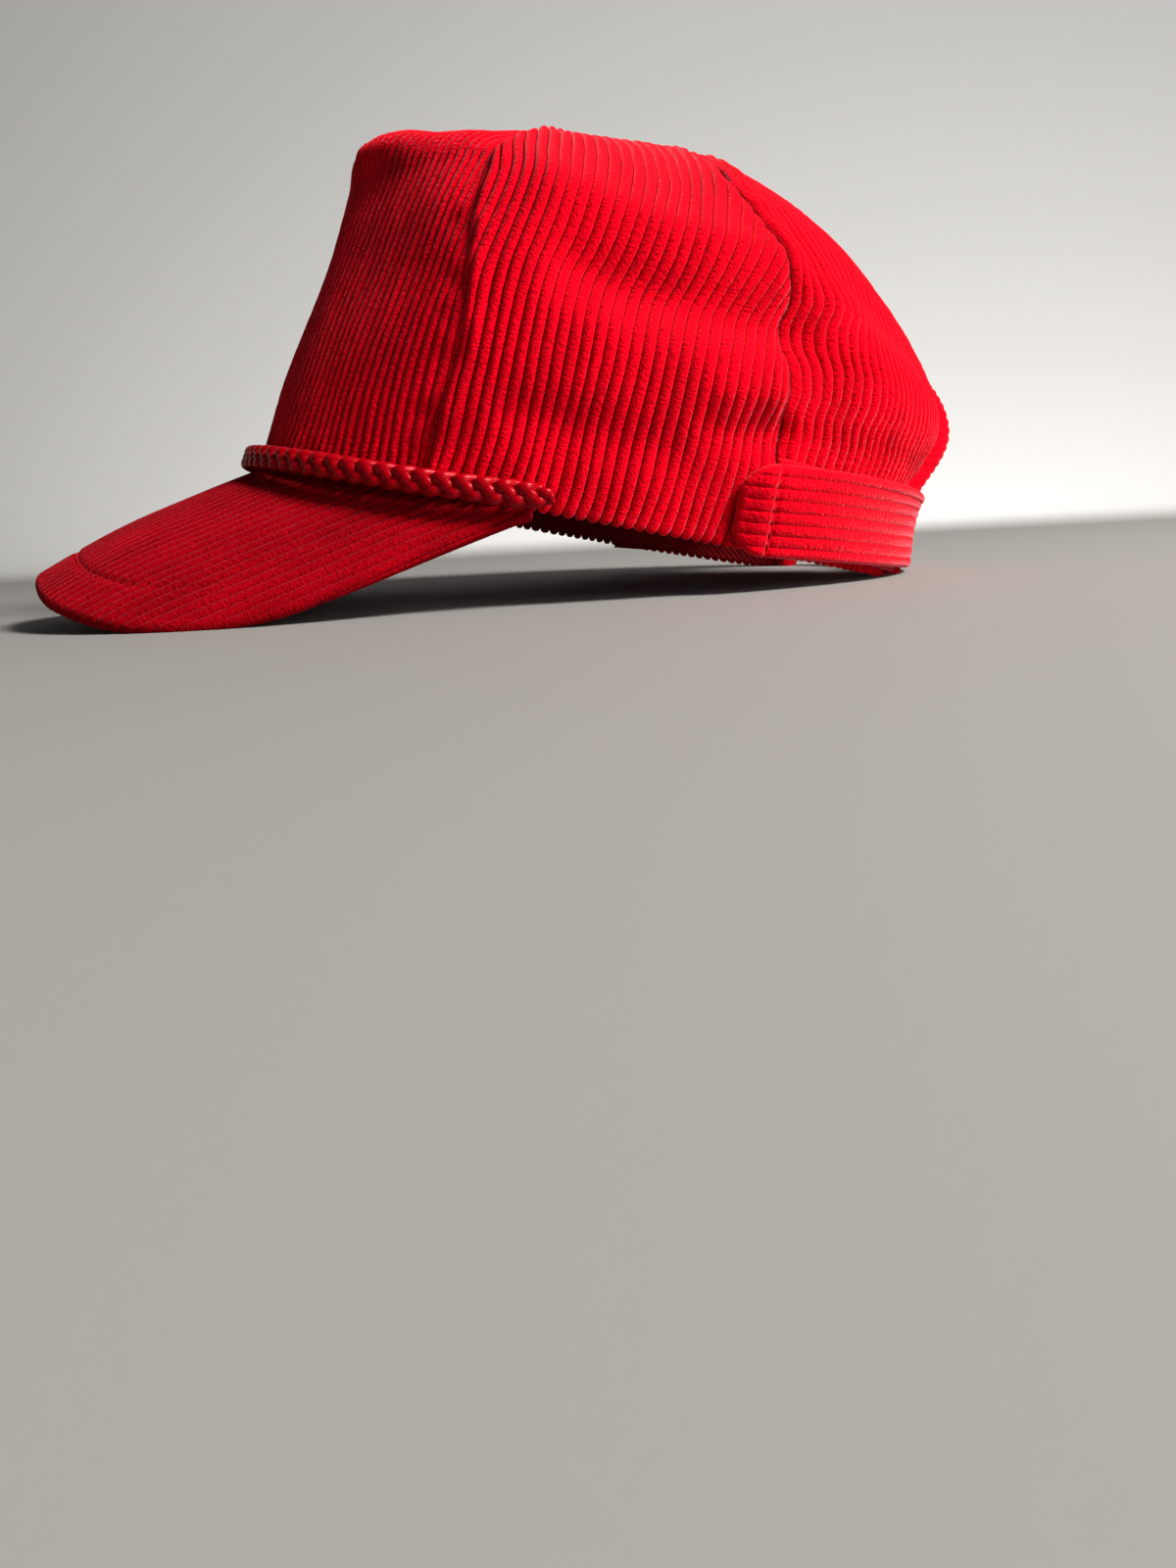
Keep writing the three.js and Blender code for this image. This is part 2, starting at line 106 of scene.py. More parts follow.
# Soft folds of each side: from angle and share up, to angle and share up, half width, height.
FOLDS = (
    (62, 0.455, 102, 0.447, 8, 2),
    (68, 0.345, 103, 0.333, 8, -4.2),
    (78, 0.25, 100, 0.262, 10, 1.8),
    (66, 0.125, 88, 0.115, 7, -2),
    (105, 0.18, 105, 0.38, 6, -2.2),
    (117, 0.385, 122, 0.27, 9, 2),
    (122, 0.43, 140, 0.37, 9, -1.8),
    (40, 0.575, 52, 0.6, 12, -1.8),
    (0, 0.53, 14, 0.54, 12, -1),
)

# Smaller creases of the same kind, on the cloth alone.
CREASES = (
    (93, 0.225, 104, 0.228, 4, 0.9),
    (93, 0.165, 105, 0.16, 4.5, -1.3),
    (64, 0.18, 92, 0.185, 8, 0.9),
    (58, 0.123, 88, 0.118, 8, 1.1),
    (70, 0.452, 101, 0.445, 4, 0.5),
    (12, 0.53, 46, 0.548, 7, 1.2),
    (14, 0.455, 44, 0.455, 9, -0.8),
)

# The peak's outer edge on the flat: sideways from the middle and forwards of the rim.
PEAK_EDGE = np.array([
    (0, 69.5), (22, 68.5), (42, 64.5), (62, 53.5), (75.5, 38),
    (83, 18.5), (85.5, -1), (86, -23), (85.5, -40),
])
PEAK_CORNER = (1.5, 2.0)      # corner past the end of the joint, sideways and forwards
PEAK_THICK = 4.0
PEAK_BEND = 95.0              # radius of the cylinder that the peak is bent round
PEAK_DROOP = math.radians(32.4)
PEAK_BOW_FROM = 30.0          # distance from the rim where it starts to bow down
PEAK_BOW = 0.0022
PEAK_END_ANGLE = 71.5         # degrees round the rim where its joint ends
PEAK_TUCK = 1.2               # how far its joint lies inside the crown's outside
PEAK_STITCH_IN = 13.0         # stitched line's distance inside the outer edge

ROPE_TALL = 6.4
ROPE_THICK = 4.6
ROPE_FRONT_HEIGHT = 0.9       # middle line above the rim
ROPE_END_HEIGHT = 3.6
ROPE_END_ANGLE = 72.5

STRAP_TALL = 23.6
STRAP_THICK = 2.2
STRAP_CORNER = 8.0
STRAP_TAB_ANGLE = 99.5        # degrees round from the front, where the tab ends
STRAP_END_ANGLE = 254.0
STRAP_END_HEIGHT = 7.8        # middle line above the rim, at the tab and at the back
STRAP_BACK_HEIGHT = 15.2
STRAP_WALES = 8
TAB_STITCH_IN = 8.0           # stitched line's distance from the tab's end

UNDER_LOW = 0.5               # lower and upper edge above the rim
UNDER_HIGH = 22.0
UNDER_THICK = 1.6
UNDER_CLEAR = 0.6             # distance off the crown
UNDER_START = 105.5
UNDER_END = 146.0
UNDER_WALES = 7

OPENING_HALF_ANGLE = 30.0
OPENING_TOP = 0.42            # share of the way up
BEAD = 2.3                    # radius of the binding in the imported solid

BUTTON_RADIUS = 7.5
BUTTON_FOOT = 6.8
BUTTON_EDGE = 1.1
BUTTON_TALL = 4.2
APEX = 107.0

# Places of the columns across one wale, from groove to groove, and how round its crest is.
WALE_STEPS = np.array([-1.0, -0.83, -0.45, 0.0, 0.45, 0.83])
WALE_ROUND = 2.4
WALE_STEEP = 0.55


def linear(hex_colour):
    """Linear red, green, blue and alpha of an sRGB hex colour."""
    parts = [int(hex_colour[i:i + 2], 16) / 255 for i in (1, 3, 5)]
    return tuple(p / 12.92 if p <= 0.04045 else ((p + 0.055) / 1.055) ** 2.4 for p in parts) + (1.0,)


class CapSizes(bpy.types.PropertyGroup):
    """Sizes of the cloth, rope and stitching"""
    wale_pitch: FloatProperty(
        name="Wale pitch", description="Groove to groove on the crown and the peak",
        default=3.05 * MM, precision=4, unit="LENGTH", subtype="DISTANCE")
    wale_height: FloatProperty(
        name="Wale height", description="Crest of the pile above the backing in a groove",
        default=1.15 * MM, precision=4, unit="LENGTH", subtype="DISTANCE")
    braid_repeat: FloatProperty(
        name="Braid repeat", description="Length of rope in which a strand returns to the same edge",
        default=21.0 * MM, precision=4, unit="LENGTH", subtype="DISTANCE")
    strand_width: FloatProperty(
        name="Strand width", description="Width of one strand of the rope",
        default=3.2 * MM, precision=4, unit="LENGTH", subtype="DISTANCE")
    stitch_length: FloatProperty(
        name="Stitch length", description="Needle hole to needle hole",
        default=3.2 * MM, precision=4, unit="LENGTH", subtype="DISTANCE")


class CapColours(bpy.types.PropertyGroup):
    """Colours of the cloth, rope, thread and floor"""
    pile: FloatVectorProperty(
        name="Pile", description="Crests of the corduroy", size=4, min=0, max=1,
        default=linear("#D80018"), subtype="COLOR")
    # Painted shade: the groove colour is the backing painted much darker, for the shade that falls between
    # the wales. It also darkens seams, stitched lines and strap edges wherever the crest is low.
    groove: FloatVectorProperty(
        name="Groove", description="Backing between the wales", size=4, min=0, max=1,
        default=linear("#560007"), subtype="COLOR")
    backing: FloatVectorProperty(
        name="Backing", description="Inside of the cloth", size=4, min=0, max=1,
        default=linear("#960A16"), subtype="COLOR")
    satin: FloatVectorProperty(
        name="Satin", description="Strands of the rope", size=4, min=0, max=1,
        default=linear("#96000C"), subtype="COLOR")
    thread: FloatVectorProperty(
        name="Thread", description="Sewing thread", size=4, min=0, max=1,
        default=linear("#B00414"), subtype="COLOR")
    floor: FloatVectorProperty(
        name="Floor", description="Studio floor", size=4, min=0, max=1,
        default=linear("#7D7C7A"), subtype="COLOR")


def sizes():
    return bpy.context.scene.rope_cap_sizes


def colours():
    return bpy.context.scene.rope_cap_colours


# Shape of the crown


def unit(vectors):
    return vectors / np.linalg.norm(vectors, axis=-1, keepdims=True).clip(1e-12)


def bell(distance, width):
    return np.exp(-(distance / width) ** 2)


def eased(value, start, end):
    """0 before a start, 1 after an end, and a smooth step between."""
    share = np.clip((value - start) / (end - start), 0, 1)
    return share * share * (3 - 2 * share)


def travelled(points):
    """Lengths so far along lines of points that run through the first axis."""
    steps = np.linalg.norm(np.diff(points, axis=0), axis=-1)
    return np.concatenate([np.zeros_like(steps[:1]), np.cumsum(steps, axis=0)])


def from_stretch(x, y, start, step):
    """Distance of flat places from a straight stretch, given by its start and the step to its end."""
    (x0, y0), (dx, dy) = start, step
    share = np.clip(((x - x0) * dx + (y - y0) * dy) / (dx * dx + dy * dy), 0, 1)
    return np.hypot(x - x0 - share * dx, y - y0 - share * dy)


def squared(degrees):
    """How far the flat front and its corner move a ring sideways, as a share of its side x."""
    shifts = (share * bell(degrees - middle, width) for middle, width, share in (FLAT_FRONT, FRONT_CORNER))
    return sum(shifts)


def ring_points(angles):
    """Points of every ring at angles in radians, as rings by angles by three."""
    columns = [column[:, None] for column in RINGS.T]
    front_y, front_z, wide_y, side_x, side_z, back_y, back_z, full, square = columns
    degrees = np.mod(np.degrees(angles) + 180, 360) - 180
    push = square * (squared(degrees) - squared(-degrees))
    along = np.cos(angles)[None]
    swell = 1 + full * np.sin(2 * angles) ** 2
    end = np.where(along > 0, wide_y - front_y, back_y - wide_y)
    end_z = np.where(along > 0, front_z, back_z)
    x = side_x * (np.sin(angles) * swell + push)
    return np.stack([x, wide_y - end * along * swell, side_z + (end_z - side_z) * along ** 2], -1)


def centripetal(points, samples):
    """Points along centripetal Catmull-Rom curves that run through the first axis."""
    before = 2 * points[0] - points[1]
    after = 2 * points[-1] - points[-2]
    knots = np.concatenate([before[None], points, after[None]])
    out = []
    for i in range(len(points) - 1):
        p0, p1, p2, p3 = knots[i:i + 4]
        d01, d12, d23 = (
            np.linalg.norm(b - a, axis=-1, keepdims=True).clip(1e-9) ** 0.5
            for a, b in ((p0, p1), (p1, p2), (p2, p3)))
        m1 = ((p1 - p0) / d01 - (p2 - p0) / (d01 + d12) + (p2 - p1) / d12) * d12
        m2 = ((p2 - p1) / d12 - (p3 - p1) / (d12 + d23) + (p3 - p2) / d23) * d12
        for s in np.linspace(0, 1, samples, endpoint=False):
            out.append(p1 + m1 * s + (-3 * p1 + 3 * p2 - 2 * m1 - m2) * s ** 2
                       + (2 * p1 - 2 * p2 + m1 + m2) * s ** 3)
    return np.array(out + [points[-1]])


GRID_ROWS = 200
GRID_MARGIN = 3               # degrees past each end of the round
GRID_DEGREES = np.arange(-GRID_MARGIN, 361 + GRID_MARGIN)
RING_SAMPLES = 40             # points of a line from ring to ring


def crown_grid():
    """The crown's outside at whole degrees and even shares of the way up, and each line's length."""
    lines = centripetal(ring_points(np.radians(GRID_DEGREES)), RING_SAMPLES)
    lengths = travelled(lines)
    shares = np.linspace(0, 1, GRID_ROWS + 1)
    grid = np.empty((GRID_ROWS + 1, len(GRID_DEGREES), 3))
    for column in range(len(GRID_DEGREES)):
        way = lengths[:, column] / lengths[-1, column]
        for axis in range(3):
            grid[:, column, axis] = np.interp(shares, way, lines[:, column, axis])
    below = 2 * grid[:1] - grid[1:2]
    above = 2 * grid[-1:] - grid[-2:-1]
    return np.concatenate([below, grid, above]), lengths[-1]


CROWN_GRID, CROWN_LENGTHS = crown_grid()


def cubic_weights(share):
    """Catmull-Rom weights of four neighbours."""
    s = share
    return (
        ((2 - s) * s - 1) * s / 2,
        ((3 * s - 5) * s) * s / 2 + 1,
        ((4 - 3 * s) * s + 1) * s / 2,
        ((s - 1) * s) * s / 2,
    )


def crown_base(angle, up):
    """Point of the crown without its folds."""
    angle, up = np.broadcast_arrays(np.mod(np.asarray(angle, float), 360), np.asarray(up, float))
    column = np.floor(angle).astype(int)
    row = np.clip(np.floor(up * GRID_ROWS).astype(int), 0, GRID_ROWS - 1)
    across = cubic_weights(angle - column)
    upwards = cubic_weights(up * GRID_ROWS - row)
    point = np.zeros(angle.shape + (3,))
    for m in range(4):
        for n in range(4):
            weight = upwards[m] * across[n]
            point += weight[..., None] * CROWN_GRID[row + m, column + n - 1 + GRID_MARGIN]
    return point


def on_side(angle, up):
    """Flat place on the side of the crown from degrees round and share of the way up."""
    return np.radians(angle) * SIDE_RADIUS, np.asarray(up) * SIDE_LENGTH


def fold_height(angle, up, folds=FOLDS):
    """How far folds push the crown outwards."""
    x, y = on_side(180 - np.abs(180 - np.mod(angle, 360)), up)
    height = 0.0
    for from_angle, from_up, to_angle, to_up, width, tall in folds:
        start, end = np.array([on_side(from_angle, from_up), on_side(to_angle, to_up)])
        height = height + tall * bell(from_stretch(x, y, start, end - start), width)
    return height


def crown_outward(angle, up):
    """Outward direction and upward direction of the crown."""
    round_step, rise_step = 0.4, 0.004
    around = crown_base(angle + round_step, up) - crown_base(angle - round_step, up)
    rise = crown_base(angle, up + rise_step) - crown_base(angle, up - rise_step)
    return unit(np.cross(around, rise)), unit(rise)


def crown(angle, up, lift):
    """Point of the crown: degrees round from the front, share of the way up, height above the cloth."""
    outward, _ = crown_outward(angle, up)
    return crown_base(angle, up) + outward * np.asarray(lift + fold_height(angle, up))[..., None]


SEAM_SOFTENING = np.linspace(-0.03, 0.03, 7)
REAR_SEAM_WAVE = 6.0
REAR_SEAM_SEED = 90


def seam(column, up):
    """Angle of a seam, softened where its straight stretches meet."""
    return np.mean([np.interp(up + o, SEAMS[:, 0], SEAMS[:, column]) for o in SEAM_SOFTENING], axis=0)


def front_seam(up):
    return seam(1, up)


def rear_seam(up):
    """The rear seam, which its stitches draw in unevenly."""
    return seam(2, up) + soft_noise(np.asarray(up) * SIDE_LENGTH / REAR_SEAM_WAVE, 0.5, REAR_SEAM_SEED)


def back_edge(up):
    """Edge of a back panel: beside the opening, then the middle of the back."""
    bead = BEAD + GAP
    top = OPENING_TOP + bead / SIDE_LENGTH
    foot = 180 - OPENING_HALF_ANGLE
    ends = crown_base(np.array([foot - 0.5, foot + 0.5]), 0.0)
    half = OPENING_HALF_ANGLE + bead / np.linalg.norm(ends[1] - ends[0])
    return 180 - half * np.sqrt(1 - np.minimum(up / top, 1) ** 2)


def laid(points):
    """Millimetres of the cap's own frame as metres of the resting frame, pressed flat on the floor."""
    x, y, z = np.moveaxis(np.asarray(points, float), -1, 0)
    turned_y = y * math.cos(LAY_TURN) - z * math.sin(LAY_TURN)
    turned_z = y * math.sin(LAY_TURN) + z * math.cos(LAY_TURN)
    out = np.stack([x, turned_y, turned_z], -1) + LAY_SHIFT
    out[..., 2] = np.maximum(out[..., 2], 0)
    return out * MM


NOISE_CELLS = 64


def soft_noise(x, y, seed):
    """Smooth seeded noise from -1 to 1, with about one hump to each unit."""
    cells = NOISE_CELLS
    lattice = np.random.default_rng(seed).uniform(-1, 1, (cells, cells))
    x, y = np.broadcast_arrays(np.asarray(x, float), np.asarray(y, float))
    i, j = np.floor(x).astype(int), np.floor(y).astype(int)
    s, t = x - i, y - j
    s, t = s * s * (3 - 2 * s), t * t * (3 - 2 * t)
    at = lambda di, dj: lattice[(i + di) % cells, (j + dj) % cells]
    low = at(0, 0) * (1 - s) + at(1, 0) * s
    high = at(0, 1) * (1 - s) + at(1, 1) * s
    return low * (1 - t) + high * t


def wave(shape, across, along, seed):
    """Seeded waves from a height and the lengths of a hump across and along the wales."""
    height, wide, long = shape
    return height * soft_noise(across / wide, along / long, seed)


def wale_crest(place):
    """Height of a wale's rounded section, 0 in the groove and 1 on the crest, for a place in wales."""
    x = np.abs(2 * np.mod(place, 1) - 1)
    return (1 - x ** WALE_ROUND) ** WALE_STEEP


def wale_columns(low, high, pitch):
    """Columns across the wales from one place to another, closer together beside the grooves."""
    wales = np.arange(math.floor(low / pitch), math.ceil(high / pitch))
    columns = (wales[:, None] + (WALE_STEPS[None] + 1) / 2).ravel() * pitch
    return np.append(columns, (wales[-1] + 1) * pitch)


# Meshes


def new_piece(name, points, faces, materials, face_materials=None, cloth=None, crest=None):
    """A smooth mesh object from metres, with places on the cloth and crest heights for its material."""
    mesh = bpy.data.meshes.new(name)
    mesh.from_pydata(points.tolist(), [], faces)
    for material in materials:
        mesh.materials.append(material)
    if face_materials is not None:
        mesh.polygons.foreach_set("material_index", face_materials)
    mesh.polygons.foreach_set("use_smooth", [True] * len(mesh.polygons))
    corner = np.empty(len(mesh.loops), np.int32)
    mesh.loops.foreach_get("vertex_index", corner)
    if cloth is not None:
        layer = mesh.uv_layers.new(name="cloth")
        layer.data.foreach_set("uv", np.ascontiguousarray(cloth[corner], np.float32).ravel())
    if crest is not None:
        attribute = mesh.attributes.new("crest", "FLOAT", "POINT")
        attribute.data.foreach_set("value", np.ascontiguousarray(crest, np.float32))
    mesh.validate()
    piece = bpy.data.objects.new(name, mesh)
    bpy.context.scene.collection.objects.link(piece)
    return piece


def grid_quads(ids):
    return np.stack([ids[:-1, :-1], ids[:-1, 1:], ids[1:, 1:], ids[1:, :-1]], -1).reshape(-1, 4)


def ring_quads(ids):
    """Faces between rings of points, each closed on itself."""
    return grid_quads(np.concatenate([ids, ids[:, :1]], 1))


def strip_quads(first, second):
    return np.stack([first[:-1], second[:-1], second[1:], first[1:]], -1)


def tidy_faces(quads, points):
    """Drops repeated corners, empty faces and unused points, and turns the faces outwards."""
    tri = np.concatenate([quads[:, [0, 1, 2]], quads[:, [0, 2, 3]]])
    a, b, c = (points[tri[:, k]] for k in range(3))
    if np.sum(a * np.cross(b, c)) < 0:
        quads = quads[:, ::-1]
    used, numbers = np.unique(quads, return_inverse=True)
    numbers = numbers.reshape(quads.shape).tolist()
    faces, kept = [], []
    for row, quad in enumerate(numbers):
        face = list(dict.fromkeys(quad))
        if len(face) > 2:
            faces.append(face)
            kept.append(row)
    return used, faces, np.array(kept)


# Points of a sheet are joined where they agree to this many digits of a metre.
JOIN_DIGITS = 7


def sheet_piece(name, outside, inside, materials, cloth, crest, slots=None, inside_crest=None):
    """A closed sheet from grids of outside and inside points; slots gives the column each point joins,
    and the last material is the inside's."""
    rows, columns = outside.shape[:2]
    if slots is None:
        slots = np.broadcast_to(np.arange(columns), (rows, columns))
    outer = np.arange(rows)[:, None] * columns + slots
    inner = outer + rows * columns
    groups = [
        grid_quads(outer),
        grid_quads(inner)[:, ::-1],
        strip_quads(outer[0], inner[0]),
        strip_quads(outer[-1], inner[-1])[:, ::-1],
        strip_quads(outer[:, 0], inner[:, 0])[:, ::-1],
        strip_quads(outer[:, -1], inner[:, -1]),
    ]
    quads = np.concatenate(groups)
    face_materials = np.zeros(len(quads), np.int32)
    face_materials[len(groups[0]):len(groups[0]) + len(groups[1])] = len(materials) - 1
    points = laid(np.concatenate([outside.reshape(-1, 3), inside.reshape(-1, 3)]))
    places = np.concatenate([cloth.reshape(-1, 2)] * 2)
    crests = np.stack([crest, np.zeros_like(crest) if inside_crest is None else inside_crest]).ravel()
    _, first, same = np.unique(points.round(JOIN_DIGITS), axis=0, return_index=True, return_inverse=True)
    used, faces, kept = tidy_faces(first[same.ravel()][quads], points)
    return new_piece(name, points[used], faces, materials, face_materials[kept], places[used], crests[used])


def tube_quads(start, rings, sides):
    """Faces of one closed tube whose rings of points follow each other from a first number."""
    ids = start + np.arange(rings * sides).reshape(rings, sides)
    quads = [ring_quads(ids)]
    for end in (ids[0], ids[-1][::-1]):
        for low in range(1, (sides - 1) // 2 + 1):
            high = sides - low
            before = end[high - 1] if high - 1 > low else end[low]
            corners = np.array([[end[low - 1], end[low], before, end[high % sides]]])
            quads.append(corners[:, ::-1])
    return np.concatenate(quads)


def tube_piece(name, points, quads, places, material, crest=None):
    """A piece made of closed tubes."""
    points = laid(np.concatenate(points))
    cloth = np.concatenate([p.reshape(-1, 2) for p in places]) * MM
    used, faces, _ = tidy_faces(np.concatenate(quads), points)
    crests = None if crest is None else crest.ravel()[used]
    return new_piece(name, points[used], faces, [material], None, cloth[used], crests)


def path_frame(middle, outward):
    """Directions across a line of points and outwards from it, square to it."""
    along = unit(np.gradient(middle, axis=0))
    across = unit(np.cross(along, outward))
    return across, np.cross(across, along)


def crown_line(angle, up, low, high):
    """A line over the crown at a low lift, and its direction towards a high one."""
    line = crown(angle, up, low)
    return line, unit(crown(angle, up, high) - line)


def sewn_on(piece, node):
    """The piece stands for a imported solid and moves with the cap."""
    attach(piece, BODY)
    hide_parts(node)


# Materials


# Sockets of a Mix node that mixes colours: the two colours and the result.
MIX_A, MIX_B, MIX_RESULT = 6, 7, 2


def fill_inputs(tree, node, inputs):
    """Sets a node's inputs; an input is a value, or an output socket to link."""
    for socket, value in dict(inputs).items():
        if isinstance(value, bpy.types.NodeSocket):
            tree.links.new(value, node.inputs[socket])
        else:
            node.inputs[socket].default_value = value


def add_node(tree, kind, inputs=(), **settings):
    """A node with its settings and inputs."""
    node = tree.nodes.new(kind)
    for name, value in settings.items():
        setattr(node, name, value)
    fill_inputs(tree, node, inputs)
    return node


def shade(colour, share):
    """A colour made darker or lighter."""
    return tuple(c * share for c in colour[:3]) + (1.0,)


def new_material(name):
    """A material, its node tree and its shader."""
    material = bpy.data.materials.new(name)
    material.use_nodes = True
    return material, material.node_tree, material.node_tree.nodes["Principled BSDF"]


# Noise in the pile: size across and along the wales in millimetres, detail and roughness.
PILE_NOISE = (
    # Tufts part every millimetre or so along a wale, and show as short nicks across it, painted darker as
    # painted shade where the tufts part.
    (1.2, 0.9, 3.0, 0.6),
    # Fibres are far finer than the render; their noise is drawn at 0.6 mm so that it shows.
    (0.6, 0.6, 2.0, 0.5),
    # Handling leaves patches, some centimetres wide, where the pile lies another way.
    (14.0, 26.0, 2.0, 0.5),
)


def corduroy(name, pile, groove, sheen, sheen_colour):
    """Cotton corduroy, cut pile brushed up in wide round wales: matt crests with a pale bloom where they are
    seen along the pile, nicks across each wale where the tufts part, darkened with painted shade, and the
    backing in the grooves, painted darker as painted shade."""
    if name in bpy.data.materials:
        return bpy.data.materials[name]
    material, tree, shader = new_material(name)
    place = add_node(tree, "ShaderNodeUVMap", uv_map="cloth").outputs["UV"]
    crest = add_node(tree, "ShaderNodeAttribute", attribute_name="crest").outputs["Fac"]
    noises = []
    for across, along, detail, roughness in PILE_NOISE:
        stretched = add_node(tree, "ShaderNodeVectorMath", {
            0: place, 1: (1 / (across * MM), 1 / (along * MM), 1)}, operation="MULTIPLY").outputs[0]
        noises.append(add_node(tree, "ShaderNodeTexNoise", {
            "Vector": stretched, "Scale": 1.0, "Detail": detail, "Roughness": roughness}).outputs["Fac"])
    tufts, fibres, patches = noises
    # Painted shade and highlight: the pile is painted darker where the tuft noise is low, in the parts
    # between tufts, and lighter on the tufts. The patches below are wear.
    tuft_share = add_node(tree, "ShaderNodeMapRange", {
        "Value": tufts, "From Min": 0.36, "From Max": 0.60}).outputs[0]
    crests = add_node(tree, "ShaderNodeMix", {
        "Factor": tuft_share, MIX_A: shade(pile, 0.72), MIX_B: shade(pile, 1.1)},
        data_type="RGBA").outputs[MIX_RESULT]
    patchy = add_node(tree, "ShaderNodeMapRange", {
        "Value": patches, "From Min": 0.35, "From Max": 0.65, "To Min": 0.82, "To Max": 1.1}).outputs[0]
    worn_and_tuft_shaded = add_node(tree, "ShaderNodeMix", {"Factor": 1.0, MIX_A: crests, MIX_B: patchy},
                    data_type="RGBA", blend_type="MULTIPLY").outputs[MIX_RESULT]
    # Painted shade: where the crest is low, in grooves, at seams and along stitched lines, the colour goes
    # over to the darkened groove colour.
    depth = add_node(tree, "ShaderNodeMapRange", {"Value": crest, "From Min": 0.0, "From Max": 0.55},
                     interpolation_type="SMOOTHSTEP").outputs[0]
    colour = add_node(tree, "ShaderNodeMix", {"Factor": depth, MIX_A: groove, MIX_B: worn_and_tuft_shaded},
                      data_type="RGBA").outputs[MIX_RESULT]
    relief = add_node(tree, "ShaderNodeMath", {0: tufts, 1: 1.2}, operation="MULTIPLY").outputs[0]
    relief = add_node(tree, "ShaderNodeMath", {0: relief, 1: fibres}, operation="ADD").outputs[0]
    bump = add_node(tree, "ShaderNodeBump", {"Height": relief, "Strength": 0.7, "Distance": 0.6 * MM})
    fill_inputs(tree, shader, {
        "Base Color": colour, "Normal": bump.outputs["Normal"], "Roughness": 0.95, "Specular IOR Level": 0.03,
        "Sheen Weight": sheen, "Sheen Roughness": 0.3, "Sheen Tint": linear(sheen_colour)})
    return material


def panel_corduroy():
    return corduroy("cotton_corduroy", colours().pile, colours().groove, 0.5, "#FF8496")


def shaded_peak_corduroy():
    """Painted shade: the peak's pile is painted at 0.4 of its colour, for the shade that the peak lies in."""
    return corduroy("cotton_corduroy_peak", shade(colours().pile, 0.4), colours().groove, 0.2, "#FF6A80")


def strap_corduroy():
    """The strap is cut across the pile, which shows more of its bloom. Its grooves are painted with less of
    the painted groove shade.
    """
    pile, groove = colours().pile, colours().groove
    lighter_groove_shade = tuple(0.7 * p + 0.3 * g for p, g in zip(pile, groove))
    return corduroy("cotton_corduroy_strap", pile, lighter_groove_shade, 0.85, "#FF93A3")


WAVE_TURN = 0.31   # a Wave texture's bands are about this far apart at scale 1


def twill_backing():
    """Cotton twill, the woven back of the corduroy: flat, matt, with fine diagonal ribs."""
    name = "cotton_twill_backing"
    if name in bpy.data.materials:
        return bpy.data.materials[name]
    material, tree, shader = new_material(name)
    place = add_node(tree, "ShaderNodeUVMap", uv_map="cloth").outputs["UV"]
    # A twill line is about 0.5 mm wide; it is drawn at 1.2 mm so that it shows.
    ribs = add_node(tree, "ShaderNodeTexWave", {
        "Vector": place, "Scale": WAVE_TURN / (1.2 * MM), "Distortion": 0.6, "Detail": 1.0},
        bands_direction="DIAGONAL").outputs["Fac"]
    colour = add_node(tree, "ShaderNodeMix", {
        "Factor": ribs, MIX_A: shade(colours().backing, 0.72), MIX_B: shade(colours().backing, 1.08)},
        data_type="RGBA").outputs[MIX_RESULT]
    bump = add_node(tree, "ShaderNodeBump", {"Height": ribs, "Strength": 0.4, "Distance": 0.25 * MM})
    fill_inputs(tree, shader, {"Base Color": colour, "Normal": bump.outputs["Normal"],
                               "Roughness": 0.9, "Specular IOR Level": 0.2})
    return material


def satin_cord():
    """Rayon satin cord, smooth filaments laid side by side in each strand: a bright line along every
    crest of the braid, and fine lines that run with the strand."""
    name = "rayon_satin_cord"
    if name in bpy.data.materials:
        return bpy.data.materials[name]
    material, tree, shader = new_material(name)
    place = add_node(tree, "ShaderNodeUVMap", uv_map="cloth").outputs["UV"]
    # Filament bundles, 0.4 mm wide and nearly a centimetre long.
    stretched = add_node(tree, "ShaderNodeVectorMath", {
        0: place, 1: (1 / (0.4 * MM), 1 / (9 * MM), 1)}, operation="MULTIPLY").outputs[0]
    lines = add_node(tree, "ShaderNodeTexNoise", {
        "Vector": stretched, "Scale": 1.0, "Detail": 2.0}).outputs["Fac"]
    colour = add_node(tree, "ShaderNodeMix", {
        "Factor": lines, MIX_A: shade(colours().satin, 0.6), MIX_B: shade(colours().satin, 1.2)},
        data_type="RGBA").outputs[MIX_RESULT]
    bump = add_node(tree, "ShaderNodeBump", {"Height": lines, "Strength": 0.35, "Distance": 0.3 * MM})
    fill_inputs(tree, shader, {
        "Base Color": colour, "Normal": bump.outputs["Normal"], "Roughness": 0.28,
        "Specular IOR Level": 0.45, "Specular Tint": linear("#FF6470")})
    return material


def sewing_thread():
    """Spun polyester thread, two plies twisted: a soft shine broken by the twist."""
    name = "spun_polyester_thread"
    if name in bpy.data.materials:
        return bpy.data.materials[name]
    material, tree, shader = new_material(name)
    place = add_node(tree, "ShaderNodeUVMap", uv_map="cloth").outputs["UV"]
    # One turn of the twist is about 0.8 mm long.
    twist = add_node(tree, "ShaderNodeTexWave", {"Vector": place, "Scale": WAVE_TURN / (0.8 * MM)},
                     bands_direction="DIAGONAL").outputs["Fac"]
    colour = add_node(tree, "ShaderNodeMix", {
        "Factor": twist, MIX_A: shade(colours().thread, 0.7), MIX_B: shade(colours().thread, 1.1)},
        data_type="RGBA").outputs[MIX_RESULT]
    fill_inputs(tree, shader, {"Base Color": colour, "Roughness": 0.8, "Specular IOR Level": 0.1})
    return material


